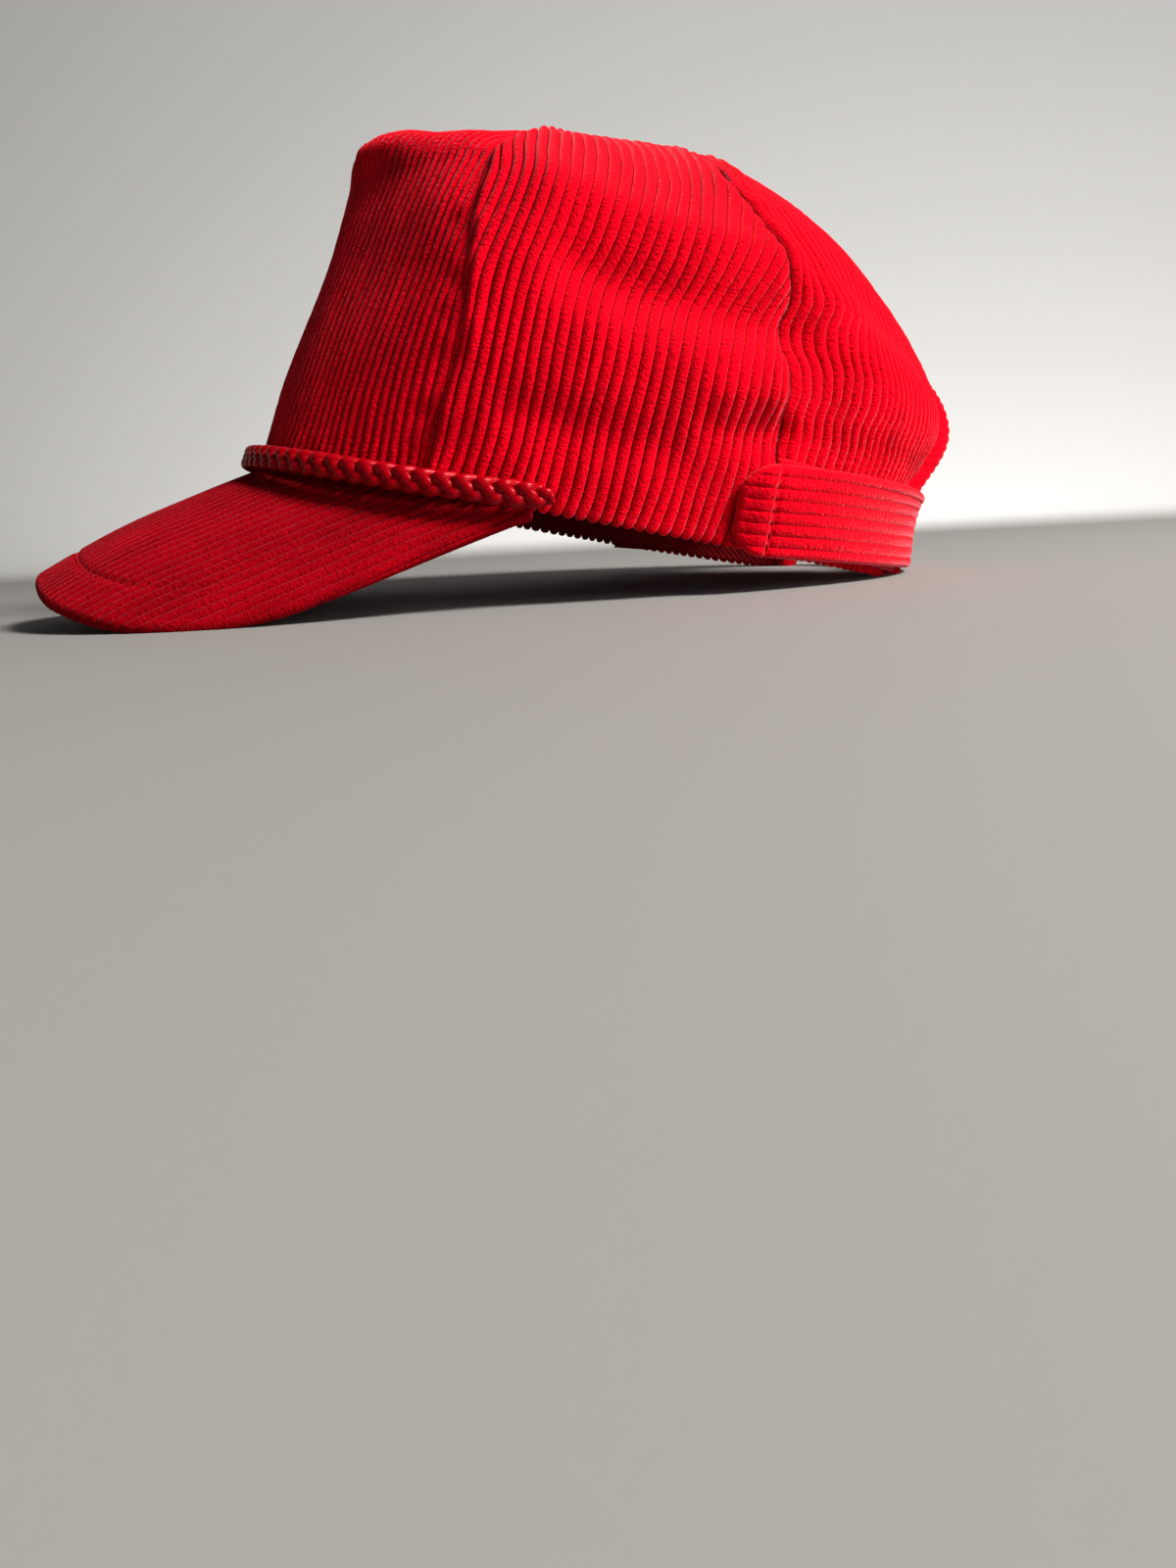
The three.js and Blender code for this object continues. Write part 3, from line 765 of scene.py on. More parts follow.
def painted_board():
    """Matt emulsion on board, rolled on: pale and even, with a slight orange-peel."""
    material, tree, shader = new_material("matt_emulsion_board")
    place = add_node(tree, "ShaderNodeTexCoord").outputs["Object"]
    # Roller stipple, about 2 mm.
    stipple = add_node(tree, "ShaderNodeTexNoise", {
        "Vector": place, "Scale": 1 / (2 * MM), "Detail": 2.0}).outputs["Fac"]
    bump = add_node(tree, "ShaderNodeBump", {"Height": stipple, "Strength": 0.05, "Distance": 0.2 * MM})
    fill_inputs(tree, shader, {"Base Color": colours().floor, "Normal": bump.outputs["Normal"],
                               "Roughness": 0.85})
    return material


# Crown panels

# Rows of every panel in millimetres over the side: close at the rim, which is rounded, then even.
RIM_ROWS = (0.0, 0.25, 0.6, 1.1, 1.8, 2.8)
ROW_STEP = 1.7
ROW_SAMPLES = 181             # points that measure a row from seam to seam

# Waves of the cloth: height, and the length of a hump across and along the wales.
WALE_WANDER = (0.4, 9, 13)    # wales, sideways
CLOTH_WANDER = (0.9, 30, 22)  # stretches of cloth, sideways
CLOTH_SLACK = (0.5, 22, 26)   # stretches of cloth, outwards
TUFT_UNEVEN = (0.08, 1.3, 2.3)
WALE_UNEVEN, WALE_UNEVEN_LONG = 0.16, 17
PUCKER_LONG, PUCKER_WIDE = 4.5, 40

# At the rim the wales lean, stand deeper apart, reach lower and curl in: how far, and within what length.
RIM_LEAN = (1.0, 2.5)
RIM_FLUTE = (0.8, 4.5)
RIM_REACH = (1.3, 1.6)
RIM_CURL = (1.1, 1.8)

# Beside a seam the wales end within a length and the cloth puffs up: where, how widely, how unevenly.
SEAM_END, SEAM_END_UNEVEN = 1.1, 0.6
SEAM_PUFF_AT, SEAM_PUFF_WIDE, SEAM_PUFF_UNEVEN = 3.4, 2.6, 0.5
THINNEST_CLOTH = 0.25

# Kinds of panel edge: how far the cloth puffs up beside it, and the crest that is left in it.
FLAT_SEAM, PUFFED_SEAM, DRAWN_SEAM, BOUND_EDGE = (-0.2, 0.4), (0.9, 0.4), (0.8, 0.12), (-0.6, 0.4)

# The middle wale of a side panel: share of the way up and degrees round from the front.
SIDE_WALE = (
    (0.00, 76.6), (0.28, 76.8), (0.34, 77.3), (0.40, 78.8), (0.47, 80.0),
    (0.56, 81.2), (0.65, 81.6), (0.75, 81.0), (0.85, 79.0), (1.00, 75.0),
)

# Sagging pulls a side panel's wales rearwards: how far, from and to shares up, and from and to places across.
SIDE_SAG, SAG_UP, SAG_ACROSS = 3.5, (0.33, 0.46), (8, 36)


def panel_rows():
    upper = np.arange(RIM_ROWS[-1] + ROW_STEP, TOP_UP * SIDE_LENGTH, ROW_STEP)
    return np.concatenate([RIM_ROWS, upper, [TOP_UP * SIDE_LENGTH]]) / SIDE_LENGTH


def side_datum(up):
    """Angle of the side panels' middle wale, which steps back over the trough of the sagging cloth."""
    return np.interp(up, *zip(*SIDE_WALE))


def side_drift(across, up):
    """How far sagging pulls a side panel's wales rearwards above the trough, more beside the rear seam."""
    return SIDE_SAG * eased(up, *SAG_UP) * eased(across, *SAG_ACROSS)


def crown_panel(node, first, last, datum, seed, edges, side=1, drift=lambda across, up: 0.0):
    """One panel between two seams, its wales parallel to a datum line and cut off by the seams."""
    pitch = sizes().wale_pitch / MM
    tall = sizes().wale_height / MM
    ups = panel_rows()
    shares = np.linspace(0, 1, ROW_SAMPLES)
    tables = []
    for up in ups:
        angles = first(up) + (last(up) - first(up)) * shares
        lengths = travelled(crown(angles, np.full_like(angles, up), 0.0))
        tables.append((angles, lengths - np.interp(datum(up), angles, lengths)))
    lows = np.array([lengths[0] for _, lengths in tables])[:, None]
    highs = np.array([lengths[-1] for _, lengths in tables])[:, None]
    columns = wale_columns(lows.min() - pitch, highs.max() + pitch, pitch)[None]
    along = np.broadcast_to((ups * SIDE_LENGTH)[:, None], (len(ups), columns.size))
    up = along / SIDE_LENGTH
    lean, lean_length = RIM_LEAN
    moved = (columns + drift(columns, up) + wave(WALE_WANDER, columns, along, seed)
             + wave(CLOTH_WANDER, columns, along, seed + 6) - lean * np.exp(-along / lean_length))
    low_column = np.sum(moved <= lows, axis=1, keepdims=True) - 1
    high_column = np.sum(moved < highs, axis=1, keepdims=True)
    slots = np.clip(np.arange(columns.size)[None], low_column, high_column)
    flat = np.clip(moved, lows, highs)
    from_seams = (flat - lows, highs - flat)
    angle = np.stack([np.interp(row, lengths, angles) for row, (angles, lengths) in zip(flat, tables)])

    crest = np.broadcast_to(wale_crest(columns / pitch), flat.shape)
    pucker = soft_noise(along / PUCKER_LONG, columns / PUCKER_WIDE, seed + 3)
    # The crest left at a seam sets its colour too: a low one paints the seam with the groove's painted shade.
    for away, (_, left) in zip(from_seams, edges):
        crest = crest + (left * (1 + SEAM_END_UNEVEN * pucker) - crest) * bell(away, SEAM_END)
    uneven = (1 + wave((WALE_UNEVEN, pitch, WALE_UNEVEN_LONG), columns, along, seed + 1)
              + wave(TUFT_UNEVEN, columns, along, seed + 4))
    flute, flute_length = RIM_FLUTE
    fluted = 1 + flute * np.exp(-along / flute_length)
    slack = wave(CLOTH_SLACK, columns, along, seed + 2)
    lift = tall * fluted * (crest * uneven - 1) + slack
    for away, (puff, _) in zip(from_seams, edges):
        lift = lift + (puff + SEAM_PUFF_UNEVEN * pucker) * bell(away - SEAM_PUFF_AT, SEAM_PUFF_WIDE)
    curl, curl_length = RIM_CURL
    lift = lift - curl * (1 - rounded(along, curl_length))
    lift = np.maximum(lift, THINNEST_CLOTH - CLOTH)

    outward, rise = crown_outward(side * angle, up)
    base = crown_base(side * angle, up)
    folds = fold_height(angle, up) + fold_height(angle, up, CREASES)
    outside = base + outward * (lift + folds)[..., None]
    reach, reach_length = RIM_REACH
    outside -= rise * (reach * crest * bell(along, reach_length))[..., None]
    inside = base + outward * (np.minimum(slack, 0) - CLOTH + folds)[..., None]
    cloth = np.stack([flat, along], -1) * MM
    materials = [panel_corduroy(), twill_backing()]
    piece = sheet_piece(f"{node}_cloth", outside, inside, materials, cloth, crest, slots)
    sewn_on(piece, node)


class ROPECAP_OT_crown(bpy.types.Operator):
    """Build the front, side and back panels of the crown"""
    bl_idname = "rope_cap.crown"
    bl_label = "Crown panels"

    def execute(self, context):
        crown_panel("front_panel", lambda up: -front_seam(up), front_seam, lambda up: 0.0, 10,
                    (FLAT_SEAM, FLAT_SEAM))
        for side, hand, seed in ((1, "left", 20), (-1, "right", 30)):
            crown_panel(f"side_panel_{hand}", front_seam, rear_seam, side_datum, seed,
                        (PUFFED_SEAM, DRAWN_SEAM), side, side_drift)
            crown_panel(f"back_panel_{hand}", rear_seam, back_edge, rear_seam, seed + 5,
                        (DRAWN_SEAM, BOUND_EDGE), side)
        return {"FINISHED"}


# Peak

PEAK_AHEAD = np.array([0.0, -math.cos(PEAK_DROOP), -math.sin(PEAK_DROOP)])
PEAK_UPPER = np.array([0.0, -math.sin(PEAK_DROOP), math.cos(PEAK_DROOP)])
RIM_FRONT = crown(np.array(0.0), np.array(0.0), -PEAK_TUCK) - np.array([0, 0, GAP])


def bent_peak(side, forward, lift):
    """Point of the peak from its flat pattern: bent round a cylinder and bowed down at the front."""
    turn = side / PEAK_BEND
    radius = PEAK_BEND + lift
    bow = PEAK_BOW * np.maximum(forward - PEAK_BOW_FROM, 0) ** 2
    drop = PEAK_BEND - radius * np.cos(turn) + bow
    point = RIM_FRONT + PEAK_AHEAD * forward[..., None] - PEAK_UPPER * drop[..., None]
    point[..., 0] += radius * np.sin(turn)
    return point


def peak_inner_edge():
    """Where the peak meets the crown's rim, on the flat, from the middle to the corner."""
    angle = np.linspace(0, PEAK_END_ANGLE, 90)
    rim = crown(angle, np.zeros_like(angle), -PEAK_TUCK)
    side = PEAK_BEND * np.arcsin(rim[:, 0] / PEAK_BEND)
    drop = PEAK_BEND * (1 - np.cos(side / PEAK_BEND))
    forward = (RIM_FRONT[2] - rim[:, 2] + GAP - drop * math.cos(PEAK_DROOP)) / math.sin(PEAK_DROOP)
    return np.stack([side, forward], -1)


def peak_outer_edge(corner):
    """The peak's outer edge on the flat, from the middle to the corner, ever further to the side."""
    half = np.concatenate([PEAK_EDGE, [corner]])
    knots = np.concatenate([half[1:2] * (-1, 1), half, half[-1:]])
    out = []
    for i in range(len(half) - 1):
        p0, p1, p2, p3 = knots[i:i + 4]
        m1, m2 = (p2 - p0) / 2, (p3 - p1) / 2
        for s in np.linspace(0, 1, 40, endpoint=False):
            out.append((2 * s ** 3 - 3 * s ** 2 + 1) * p1 + (s ** 3 - 2 * s ** 2 + s) * m1
                       + (3 * s ** 2 - 2 * s ** 3) * p2 + (s ** 3 - s ** 2) * m2)
    out = np.array(out + [half[-1]])
    out[:, 0] = np.maximum.accumulate(out[:, 0]) + np.linspace(0, 0.2, len(out))
    return out


def distance_to(line, places):
    """Distance of flat places from a line of points."""
    nearest = np.full(places.shape[:-1], np.inf)
    for start, step in zip(line[:-1], np.diff(line, axis=0)):
        np.minimum(nearest, from_stretch(places[..., 0], places[..., 1], start, step), out=nearest)
    return nearest


def peak_edges():
    inner = peak_inner_edge()
    corner = inner[-1] + PEAK_CORNER
    return np.concatenate([inner, [corner]]), peak_outer_edge(corner)


def rounded(distance, radius):
    """Quarter-round: 0 at an edge and 1 from a radius inside it."""
    return np.sqrt(1 - (1 - np.clip(distance / radius, 0, 1)) ** 2)


PEAK_ROWS = 84
PEAK_ROW_CROWDING = 1.7       # rows lie closer together towards the outer edge
PEAK_EDGE_THICK = 0.06        # left between the two faces at the edge
PEAK_WALE = 0.85              # share of the crown's wale height
PEAK_NOTCH = 0.75             # share of a groove that notches the outer edge
PEAK_CORNER_FROM = 78.0       # past this, columns follow the outer edge's own points
PEAK_LEAST_COLUMN = 0.12
PEAK_GROOVE = (0.9, 0.8)      # depth and half width of the stitched line
PEAK_UNEVEN, PEAK_UNEVEN_LONG = 0.14, 15
PEAK_SLACK = (0.3, 20, 20)
PEAK_SIDES = (44, 62)         # from where to where the stitches turn along the wales


def beside_stitches(side):
    """Share of the way to the peak's sides, where the stitches sink between the wales that they run along."""
    return eased(np.abs(side), *PEAK_SIDES)


class ROPECAP_OT_peak(bpy.types.Operator):
    """Build the curved peak with its stitched line"""
    bl_idname = "rope_cap.peak"
    bl_label = "Peak"

    def execute(self, context):
        pitch = sizes().wale_pitch / MM
        tall = sizes().wale_height / MM * PEAK_WALE
        deep, groove_wide = PEAK_GROOVE
        inner, outer = peak_edges()
        widest = outer[-1, 0]
        middle = wale_columns(0, widest, pitch)
        beside = outer[outer[:, 0] > PEAK_CORNER_FROM][::6, 0]
        half = np.unique(np.concatenate([middle[middle < widest], beside, [widest]]).round(2))
        half = half[np.insert(np.diff(half) > PEAK_LEAST_COLUMN, 0, True)]
        columns = np.concatenate([-half[:0:-1], half])
        wide = np.abs(columns)
        crest = wale_crest(columns / pitch)
        edge = np.interp(wide, outer[:, 0], outer[:, 1])
        notch = PEAK_NOTCH * tall * (1 - crest) / np.sqrt(1 + np.gradient(edge, columns) ** 2)
        near = np.interp(wide, inner[:, 0], inner[:, 1])
        far = np.maximum(edge - notch, near)
        share = np.linspace(0, 1, PEAK_ROWS)[:, None] ** PEAK_ROW_CROWDING
        forward = far[None] + (near - far)[None] * share
        side = np.broadcast_to(columns, forward.shape)
        places = np.stack([side, forward], -1)
        mirrored_places = np.stack([np.abs(side), forward], -1)
        from_edge = np.maximum(distance_to(outer, mirrored_places) - notch, 0)
        half_thick = np.maximum(PEAK_THICK / 2 * rounded(from_edge, PEAK_THICK / 2), PEAK_EDGE_THICK / 2)
        at_edge = np.clip(from_edge / 2, 0, 1) ** 0.5
        stitched = bell(from_edge - PEAK_STITCH_IN, groove_wide) * (1 - 0.8 * beside_stitches(side))
        uneven = 1 + wave((PEAK_UNEVEN, pitch, PEAK_UNEVEN_LONG), side, forward, 61)
        wale = tall * (1 - crest * uneven) * at_edge
        slack = wave(PEAK_SLACK, side, forward, 62) * at_edge
        middle = PEAK_THICK / 2
        upper = bent_peak(side, forward, half_thick - middle - wale - deep * stitched + slack)
        lower = bent_peak(side, forward, -half_thick - middle + wale + deep * stitched + slack)
        # Painted shade: the crest is lowered along the stitched line, which paints its groove towards the
        # darkened groove colour.
        crests = np.broadcast_to(crest, forward.shape) * (1 - 0.7 * stitched)
        piece = sheet_piece("peak_cloth", upper, lower, [shaded_peak_corduroy()], places * MM, crests,
                            inside_crest=crests)
        sewn_on(piece, "peak")
        return {"FINISHED"}


# Rope

ROPE_STEPS = 620
ROPE_GATHERED = 6.0           # length at each end in which the strands come together
STRAND_SIDES = 12
STRAND_FLATNESS = 0.72
STRANDS = 4
STRAND_PLACE = 40.0           # keeps the strands' filaments from looking alike


def rope_path():
    """Middle line of the rope with its outward direction."""
    share = np.linspace(-1, 1, ROPE_STEPS)
    up = (ROPE_FRONT_HEIGHT + (ROPE_END_HEIGHT - ROPE_FRONT_HEIGHT) * share ** 4) / SIDE_LENGTH
    return crown_line(share * ROPE_END_ANGLE, up, GAP + ROPE_THICK / 2, GAP + ROPE_THICK)


class ROPECAP_OT_rope(bpy.types.Operator):
    """Build the four-strand braid over the joint of peak and crown"""
    bl_idname = "rope_cap.rope"
    bl_label = "Rope"

    def execute(self, context):
        width = sizes().strand_width / MM
        thick = width * STRAND_FLATNESS
        repeat = sizes().braid_repeat / MM
        sway = ROPE_TALL / 2 - width / 2 + 0.2
        weave = ROPE_THICK / 2 - thick / 2
        middle, outward = rope_path()
        across, _ = path_frame(middle, outward)
        length = travelled(middle)
        from_end = np.minimum(length, length[-1] - length)
        gathered = np.clip(from_end / ROPE_GATHERED, 0, 1) ** 0.6
        turn = np.linspace(0, 2 * math.pi, STRAND_SIDES, endpoint=False)
        points, places, quads = [], [], []
        for strand in range(STRANDS):
            phase = 2 * math.pi * length / repeat + strand * math.pi / 2
            centre = (middle + across * (sway * (0.3 + 0.7 * gathered) * np.sin(phase))[:, None]
                      + outward * (weave * np.cos(3 * phase))[:, None])
            wide, out = path_frame(centre, outward)
            size = (0.55 + 0.45 * gathered)[:, None, None]
            ring = (wide[:, None] * (width / 2 * np.cos(turn))[None, :, None]
                    + out[:, None] * (thick / 2 * np.sin(turn))[None, :, None])
            points.append((centre[:, None] + ring * size).reshape(-1, 3))
            round_place = np.broadcast_to(turn * width / 2, (ROPE_STEPS, STRAND_SIDES))
            round_place = round_place + STRAND_PLACE * strand
            places.append(np.stack([round_place, np.broadcast_to(length[:, None], round_place.shape)], -1))
            quads.append(tube_quads(strand * ROPE_STEPS * STRAND_SIDES, ROPE_STEPS, STRAND_SIDES))
        piece = tube_piece("rope_braid", points, quads, places, satin_cord())
        sewn_on(piece, "rope")
        return {"FINISHED"}


# Straps


def on_crown(angle, height, lift):
    """Point over the crown from degrees round and millimetres above the rim."""
    length = np.interp(np.mod(angle, 360), GRID_DEGREES, CROWN_LENGTHS)
    rise = height - crown_base(angle, 0.0)[..., 2]
    point = crown(angle, np.maximum(rise, 0) / length, lift)
    point[..., 2] += np.minimum(rise, 0)
    return point


def strap_middle(angle):
    share = (180 - angle) / (180 - STRAP_TAB_ANGLE)
    return STRAP_BACK_HEIGHT + (STRAP_END_HEIGHT - STRAP_BACK_HEIGHT) * share ** 2


def strap_clear(angle):
    """How far the strap's inside stands off the crown: over what lies under it, and close at its ends."""
    over = UNDER_CLEAR + UNDER_THICK + 1.5 * GAP
    past_opening = 180 + OPENING_HALF_ANGLE + 8
    rising = eased(angle, STRAP_TAB_ANGLE, UNDER_START - 2)
    falling = 1 - eased(angle, past_opening, past_opening + 16)
    least = np.where(angle < 180, GAP, 3 * GAP)
    return least + (over - least) * np.minimum(rising, falling)


def strap_half(from_tab):
    """Half the strap's height: full, and less in the rounded corners of its tab."""
    in_corner = np.maximum(STRAP_CORNER - from_tab, 0)
    return STRAP_TALL / 2 - STRAP_CORNER + np.sqrt(STRAP_CORNER ** 2 - in_corner ** 2)


STRIP_EDGE = 1.4              # radius of the rolled edges
STRIP_WALE = 0.42             # depth of the grooves
STRIP_PUFF = 0.7
STRIP_UNEVEN, STRIP_UNEVEN_LONG = 0.14, 14
STRIP_SLACK = (0.3, 18, 16)


def banded_strip(name, angle, middle, half, wales, tall, clear, thick, from_end, groove, seed):
    """A doubled strip of corduroy round the crown, its wales running along it and its edges rolled."""
    pitch = tall / wales
    columns = wale_columns(-tall / 2, tall / 2 - 0.01, pitch)
    low = np.searchsorted(columns, -half, "right") - 1
    high = np.searchsorted(columns, half, "left")
    slots = np.clip(np.arange(len(columns))[None], low[:, None], high[:, None])
    height = np.clip(columns[None], -half[:, None], half[:, None])
    inner = np.minimum(half[:, None] - np.abs(height), from_end[:, None] + 0 * height)
    edge = rounded(inner, STRIP_EDGE)
    along = np.radians(angle)[:, None] * SIDE_RADIUS + 0 * height
    # The crest fades out at the rolled edges, which paints them with the groove's painted shade.
    crest = wale_crest(columns / pitch)[None] * np.clip(inner / 0.8, 0, 1) + 0 * height
    uneven = 1 + wave((STRIP_UNEVEN, pitch, STRIP_UNEVEN_LONG), columns[None], along, seed)
    wale = STRIP_WALE * (1 - crest * uneven) * np.clip(inner / 1.2, 0, 1)
    slack = wave(STRIP_SLACK, columns[None], along, seed + 1)
    outer_lift = thick / 2 + (thick / 2 + STRIP_PUFF) * edge - wale - groove[:, None] + slack * edge
    inner_lift = thick / 2 - thick / 2 * edge
    angles = angle[:, None] + 0 * height
    heights = middle[:, None] + height
    outside = on_crown(angles, heights, clear[:, None] + outer_lift)
    inside = on_crown(angles, heights, clear[:, None] + np.minimum(inner_lift, outer_lift - 0.1))
    cloth = np.stack([height, along], -1) * MM
    return sheet_piece(name, outside, inside, [strap_corduroy()], cloth, crest, slots)


class ROPECAP_OT_straps(bpy.types.Operator):
    """Build the back strap with its rounded tab, and the strap end under it"""
    bl_idname = "rope_cap.straps"
    bl_label = "Straps"

    def execute(self, context):
        whole = math.radians(STRAP_END_ANGLE - STRAP_TAB_ANGLE) * SIDE_RADIUS
        near_tab = np.concatenate([(0, 0.1, 0.3), np.arange(0.6, 14, 0.45)])
        near_end = whole - np.array([1.4, 0.8, 0.3, 0.0])
        from_tab = np.concatenate([near_tab, np.arange(14, whole - 2, 1.9), near_end])
        angle = STRAP_TAB_ANGLE + np.degrees(from_tab / SIDE_RADIUS)
        groove = 0.8 * bell(from_tab - TAB_STITCH_IN, 0.7)
        strap = banded_strip(
            "back_strap_cloth", angle, strap_middle(angle), strap_half(from_tab), STRAP_WALES, STRAP_TALL,
            strap_clear(angle), STRAP_THICK, np.minimum(from_tab, whole - from_tab), groove, 71)
        sewn_on(strap, "back_strap")

        tall = UNDER_HIGH - UNDER_LOW
        whole = math.radians(UNDER_END - UNDER_START) * SIDE_RADIUS
        from_start = np.concatenate([(0, 0.3, 0.8), np.arange(1.5, whole - 1, 1.8), [whole - 0.3, whole]])
        angle = UNDER_START + np.degrees(from_start / SIDE_RADIUS)
        even = np.ones_like(angle)
        under = banded_strip(
            "under_strap_cloth", angle, even * (UNDER_LOW + UNDER_HIGH) / 2, even * tall / 2, UNDER_WALES,
            tall, even * UNDER_CLEAR, UNDER_THICK - 0.6, np.minimum(from_start, whole - from_start),
            0 * even, 75)
        sewn_on(under, "under_strap")
        return {"FINISHED"}


# Binding of the opening

BINDING_STEPS = 460
BINDING_SIDES = 16
BINDING_RIB = 2.6             # groove to groove along the binding
BINDING_TURNS = 4             # ribs that one turn round the bead crosses
BINDING_PROUD = 0.8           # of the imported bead, on a crest
BINDING_DEEP = 0.6


class ROPECAP_OT_binding(bpy.types.Operator):
    """Build the bias-cut binding round the back opening"""
    bl_idname = "rope_cap.binding"
    bl_label = "Opening binding"

    def execute(self, context):
        turn = np.linspace(0, math.pi, BINDING_STEPS)
        angle = 180 - OPENING_HALF_ANGLE * np.cos(turn)
        up = OPENING_TOP * np.sin(turn)
        middle, outward = crown_line(angle, up, 0.0, CLOTH)
        across, out = path_frame(middle, outward)
        length = travelled(middle)
        section = np.linspace(0, 2 * math.pi, BINDING_SIDES, endpoint=False)
        bias = length[:, None] / BINDING_RIB + section[None] / (2 * math.pi) * BINDING_TURNS
        crest = wale_crest(bias)
        radius = BEAD + BINDING_PROUD - BINDING_DEEP * (1 - crest)
        points = (middle[:, None] + across[:, None] * (radius * np.cos(section))[..., None]
                  + out[:, None] * (radius * np.sin(section))[..., None])
        places = np.stack([bias * BINDING_RIB, length[:, None] + 0 * bias], -1)
        piece = tube_piece("opening_binding_cloth", [points.reshape(-1, 3)],
                           [tube_quads(0, BINDING_STEPS, BINDING_SIDES)], [places], panel_corduroy(), crest)
        sewn_on(piece, "opening_binding")
        return {"FINISHED"}


# Button

BUTTON_AROUND = 96
BUTTON_DOME_RINGS = 26
BUTTON_DEEP = 0.7             # depth of its grooves


class ROPECAP_OT_button(bpy.types.Operator):
    """Build the covered button at the top of the crown"""
    bl_idname = "rope_cap.button"
    bl_label = "Top button"

    def execute(self, context):
        pitch = sizes().wale_pitch / MM
        turn = np.linspace(0, math.pi / 2, BUTTON_DOME_RINGS)
        foot = np.array([0.0, BUTTON_FOOT / 2, BUTTON_FOOT])
        dome = np.concatenate([0 * foot, np.sin(turn)])[:, None]
        covered = np.concatenate([0 * foot, np.ones_like(turn)])[:, None]
        radius = np.concatenate([foot, BUTTON_RADIUS * np.cos(turn)])
        height = covered * BUTTON_EDGE + (BUTTON_TALL - BUTTON_EDGE) * dome
        around = np.linspace(0, 2 * math.pi, BUTTON_AROUND, endpoint=False)
        x = radius[:, None] * np.cos(around)
        y = radius[:, None] * np.sin(around)
        crest = wale_crest(x / pitch + 0.5) * covered
        sunk = BUTTON_DEEP * (1 - crest) * covered
        z = APEX - GAP / 2 + height - sunk * dome
        shrink = 1 - sunk / BUTTON_RADIUS
        points = np.stack([x * shrink, y * shrink, z], -1)
        places = np.stack([x, y], -1)
        rings = len(radius)
        ids = np.arange(rings * BUTTON_AROUND).reshape(rings, BUTTON_AROUND)
        ids[0] = ids[0, 0]
        ids[-1] = ids[-1, 0]
        piece = tube_piece("top_button_cover", [points.reshape(-1, 3)], [ring_quads(ids)], [places],
                           panel_corduroy(), crest)
        sewn_on(piece, "top_button")
        return {"FINISHED"}


# Stitching

STITCH_THICK = 0.55
STITCH_RINGS = 7
STITCH_SIDES = 6
STITCH_RISE = 0.45            # of its middle above its ends
STITCH_SEAT = 0.25            # of its ends below the line
PEAK_STITCH_SUNK = (0.9, 0.6)  # below the crests, and further at the sides


def stitched_line(name, line, outward):
    """Separate stitches along a line of points, each dipping into the cloth at its ends."""
    pitch = sizes().stitch_length / MM
    length = travelled(line)
    section = np.linspace(0, 2 * math.pi, STITCH_SIDES, endpoint=False)
    points, quads, places = [], [], []
    for number in range(int(length[-1] / pitch)):
        share = np.linspace(0, 1, STITCH_RINGS)
        at = (number + 0.1 + 0.8 * share) * pitch
        centre = np.stack([np.interp(at, length, line[:, k]) for k in range(3)], -1)
        out = unit(np.stack([np.interp(at, length, outward[:, k]) for k in range(3)], -1))
        centre = centre + out * (STITCH_RISE * np.sin(math.pi * share) - STITCH_SEAT)[:, None]
        across, upper = path_frame(centre, out)
        size = STITCH_THICK / 2 * (0.5 + 0.5 * np.sin(math.pi * share) ** 0.5)
        points.append((centre[:, None] + size[:, None, None] * (
            across[:, None] * np.cos(section)[None, :, None]
            + upper[:, None] * np.sin(section)[None, :, None])).reshape(-1, 3))
        places.append(np.stack([np.broadcast_to(section * STITCH_THICK / 2, (STITCH_RINGS, STITCH_SIDES)),
                                np.broadcast_to(at[:, None], (STITCH_RINGS, STITCH_SIDES))], -1))
        quads.append(tube_quads(number * STITCH_RINGS * STITCH_SIDES, STITCH_RINGS, STITCH_SIDES))
    piece = tube_piece(name, points, quads, places, sewing_thread())
    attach(piece, BODY)


class ROPECAP_OT_stitching(bpy.types.Operator):
    """Sew the lines of stitches on the peak and the strap"""
    bl_idname = "rope_cap.stitching"
    bl_label = "Stitching"

    def execute(self, context):
        inner, outer = peak_edges()
        whole = np.concatenate([outer[:0:-1] * (-1, 1), outer])
        step = unit(np.gradient(whole, axis=0))
        line = whole + np.stack([step[:, 1], -step[:, 0]], -1) * PEAK_STITCH_IN
        clear = line[:, 1] > np.interp(np.abs(line[:, 0]), inner[:, 0], inner[:, 1]) + 4
        line = line[clear]
        sunk, further = PEAK_STITCH_SUNK
        sunk = -sunk - further * beside_stitches(line[:, 0])
        seat = bent_peak(line[:, 0], line[:, 1], sunk)
        over = bent_peak(line[:, 0], line[:, 1], sunk + 1)
        stitched_line("peak_stitching", seat, over - seat)

        height = np.linspace(-STRAP_TALL / 2 + 1.2, STRAP_TALL / 2 - 1.2, 60)
        angle = np.full_like(height, STRAP_TAB_ANGLE + math.degrees(TAB_STITCH_IN / SIDE_RADIUS))
        heights = strap_middle(angle) + height
        lift = strap_clear(angle) + STRAP_THICK + 0.1
        seat = on_crown(angle, heights, lift)
        stitched_line("tab_stitching", seat, on_crown(angle, heights, lift + 1) - seat)
        return {"FINISHED"}


# Stage

CAMERA_PLACE = (403.89, -65.13, 23.70)
CAMERA_ROUND = math.radians(167.642)
CAMERA_UP = math.radians(-11.757)
CAMERA_ROLL = math.radians(3.326)
CAMERA_FOCAL_PIXELS = 1350.0
PHOTO_HEIGHT = 1600.0
SENSOR = 36.0

FLOOR_FLAT = 0.9
FLOOR_SWEEP = 1.5
FLOOR_SIDES = 96

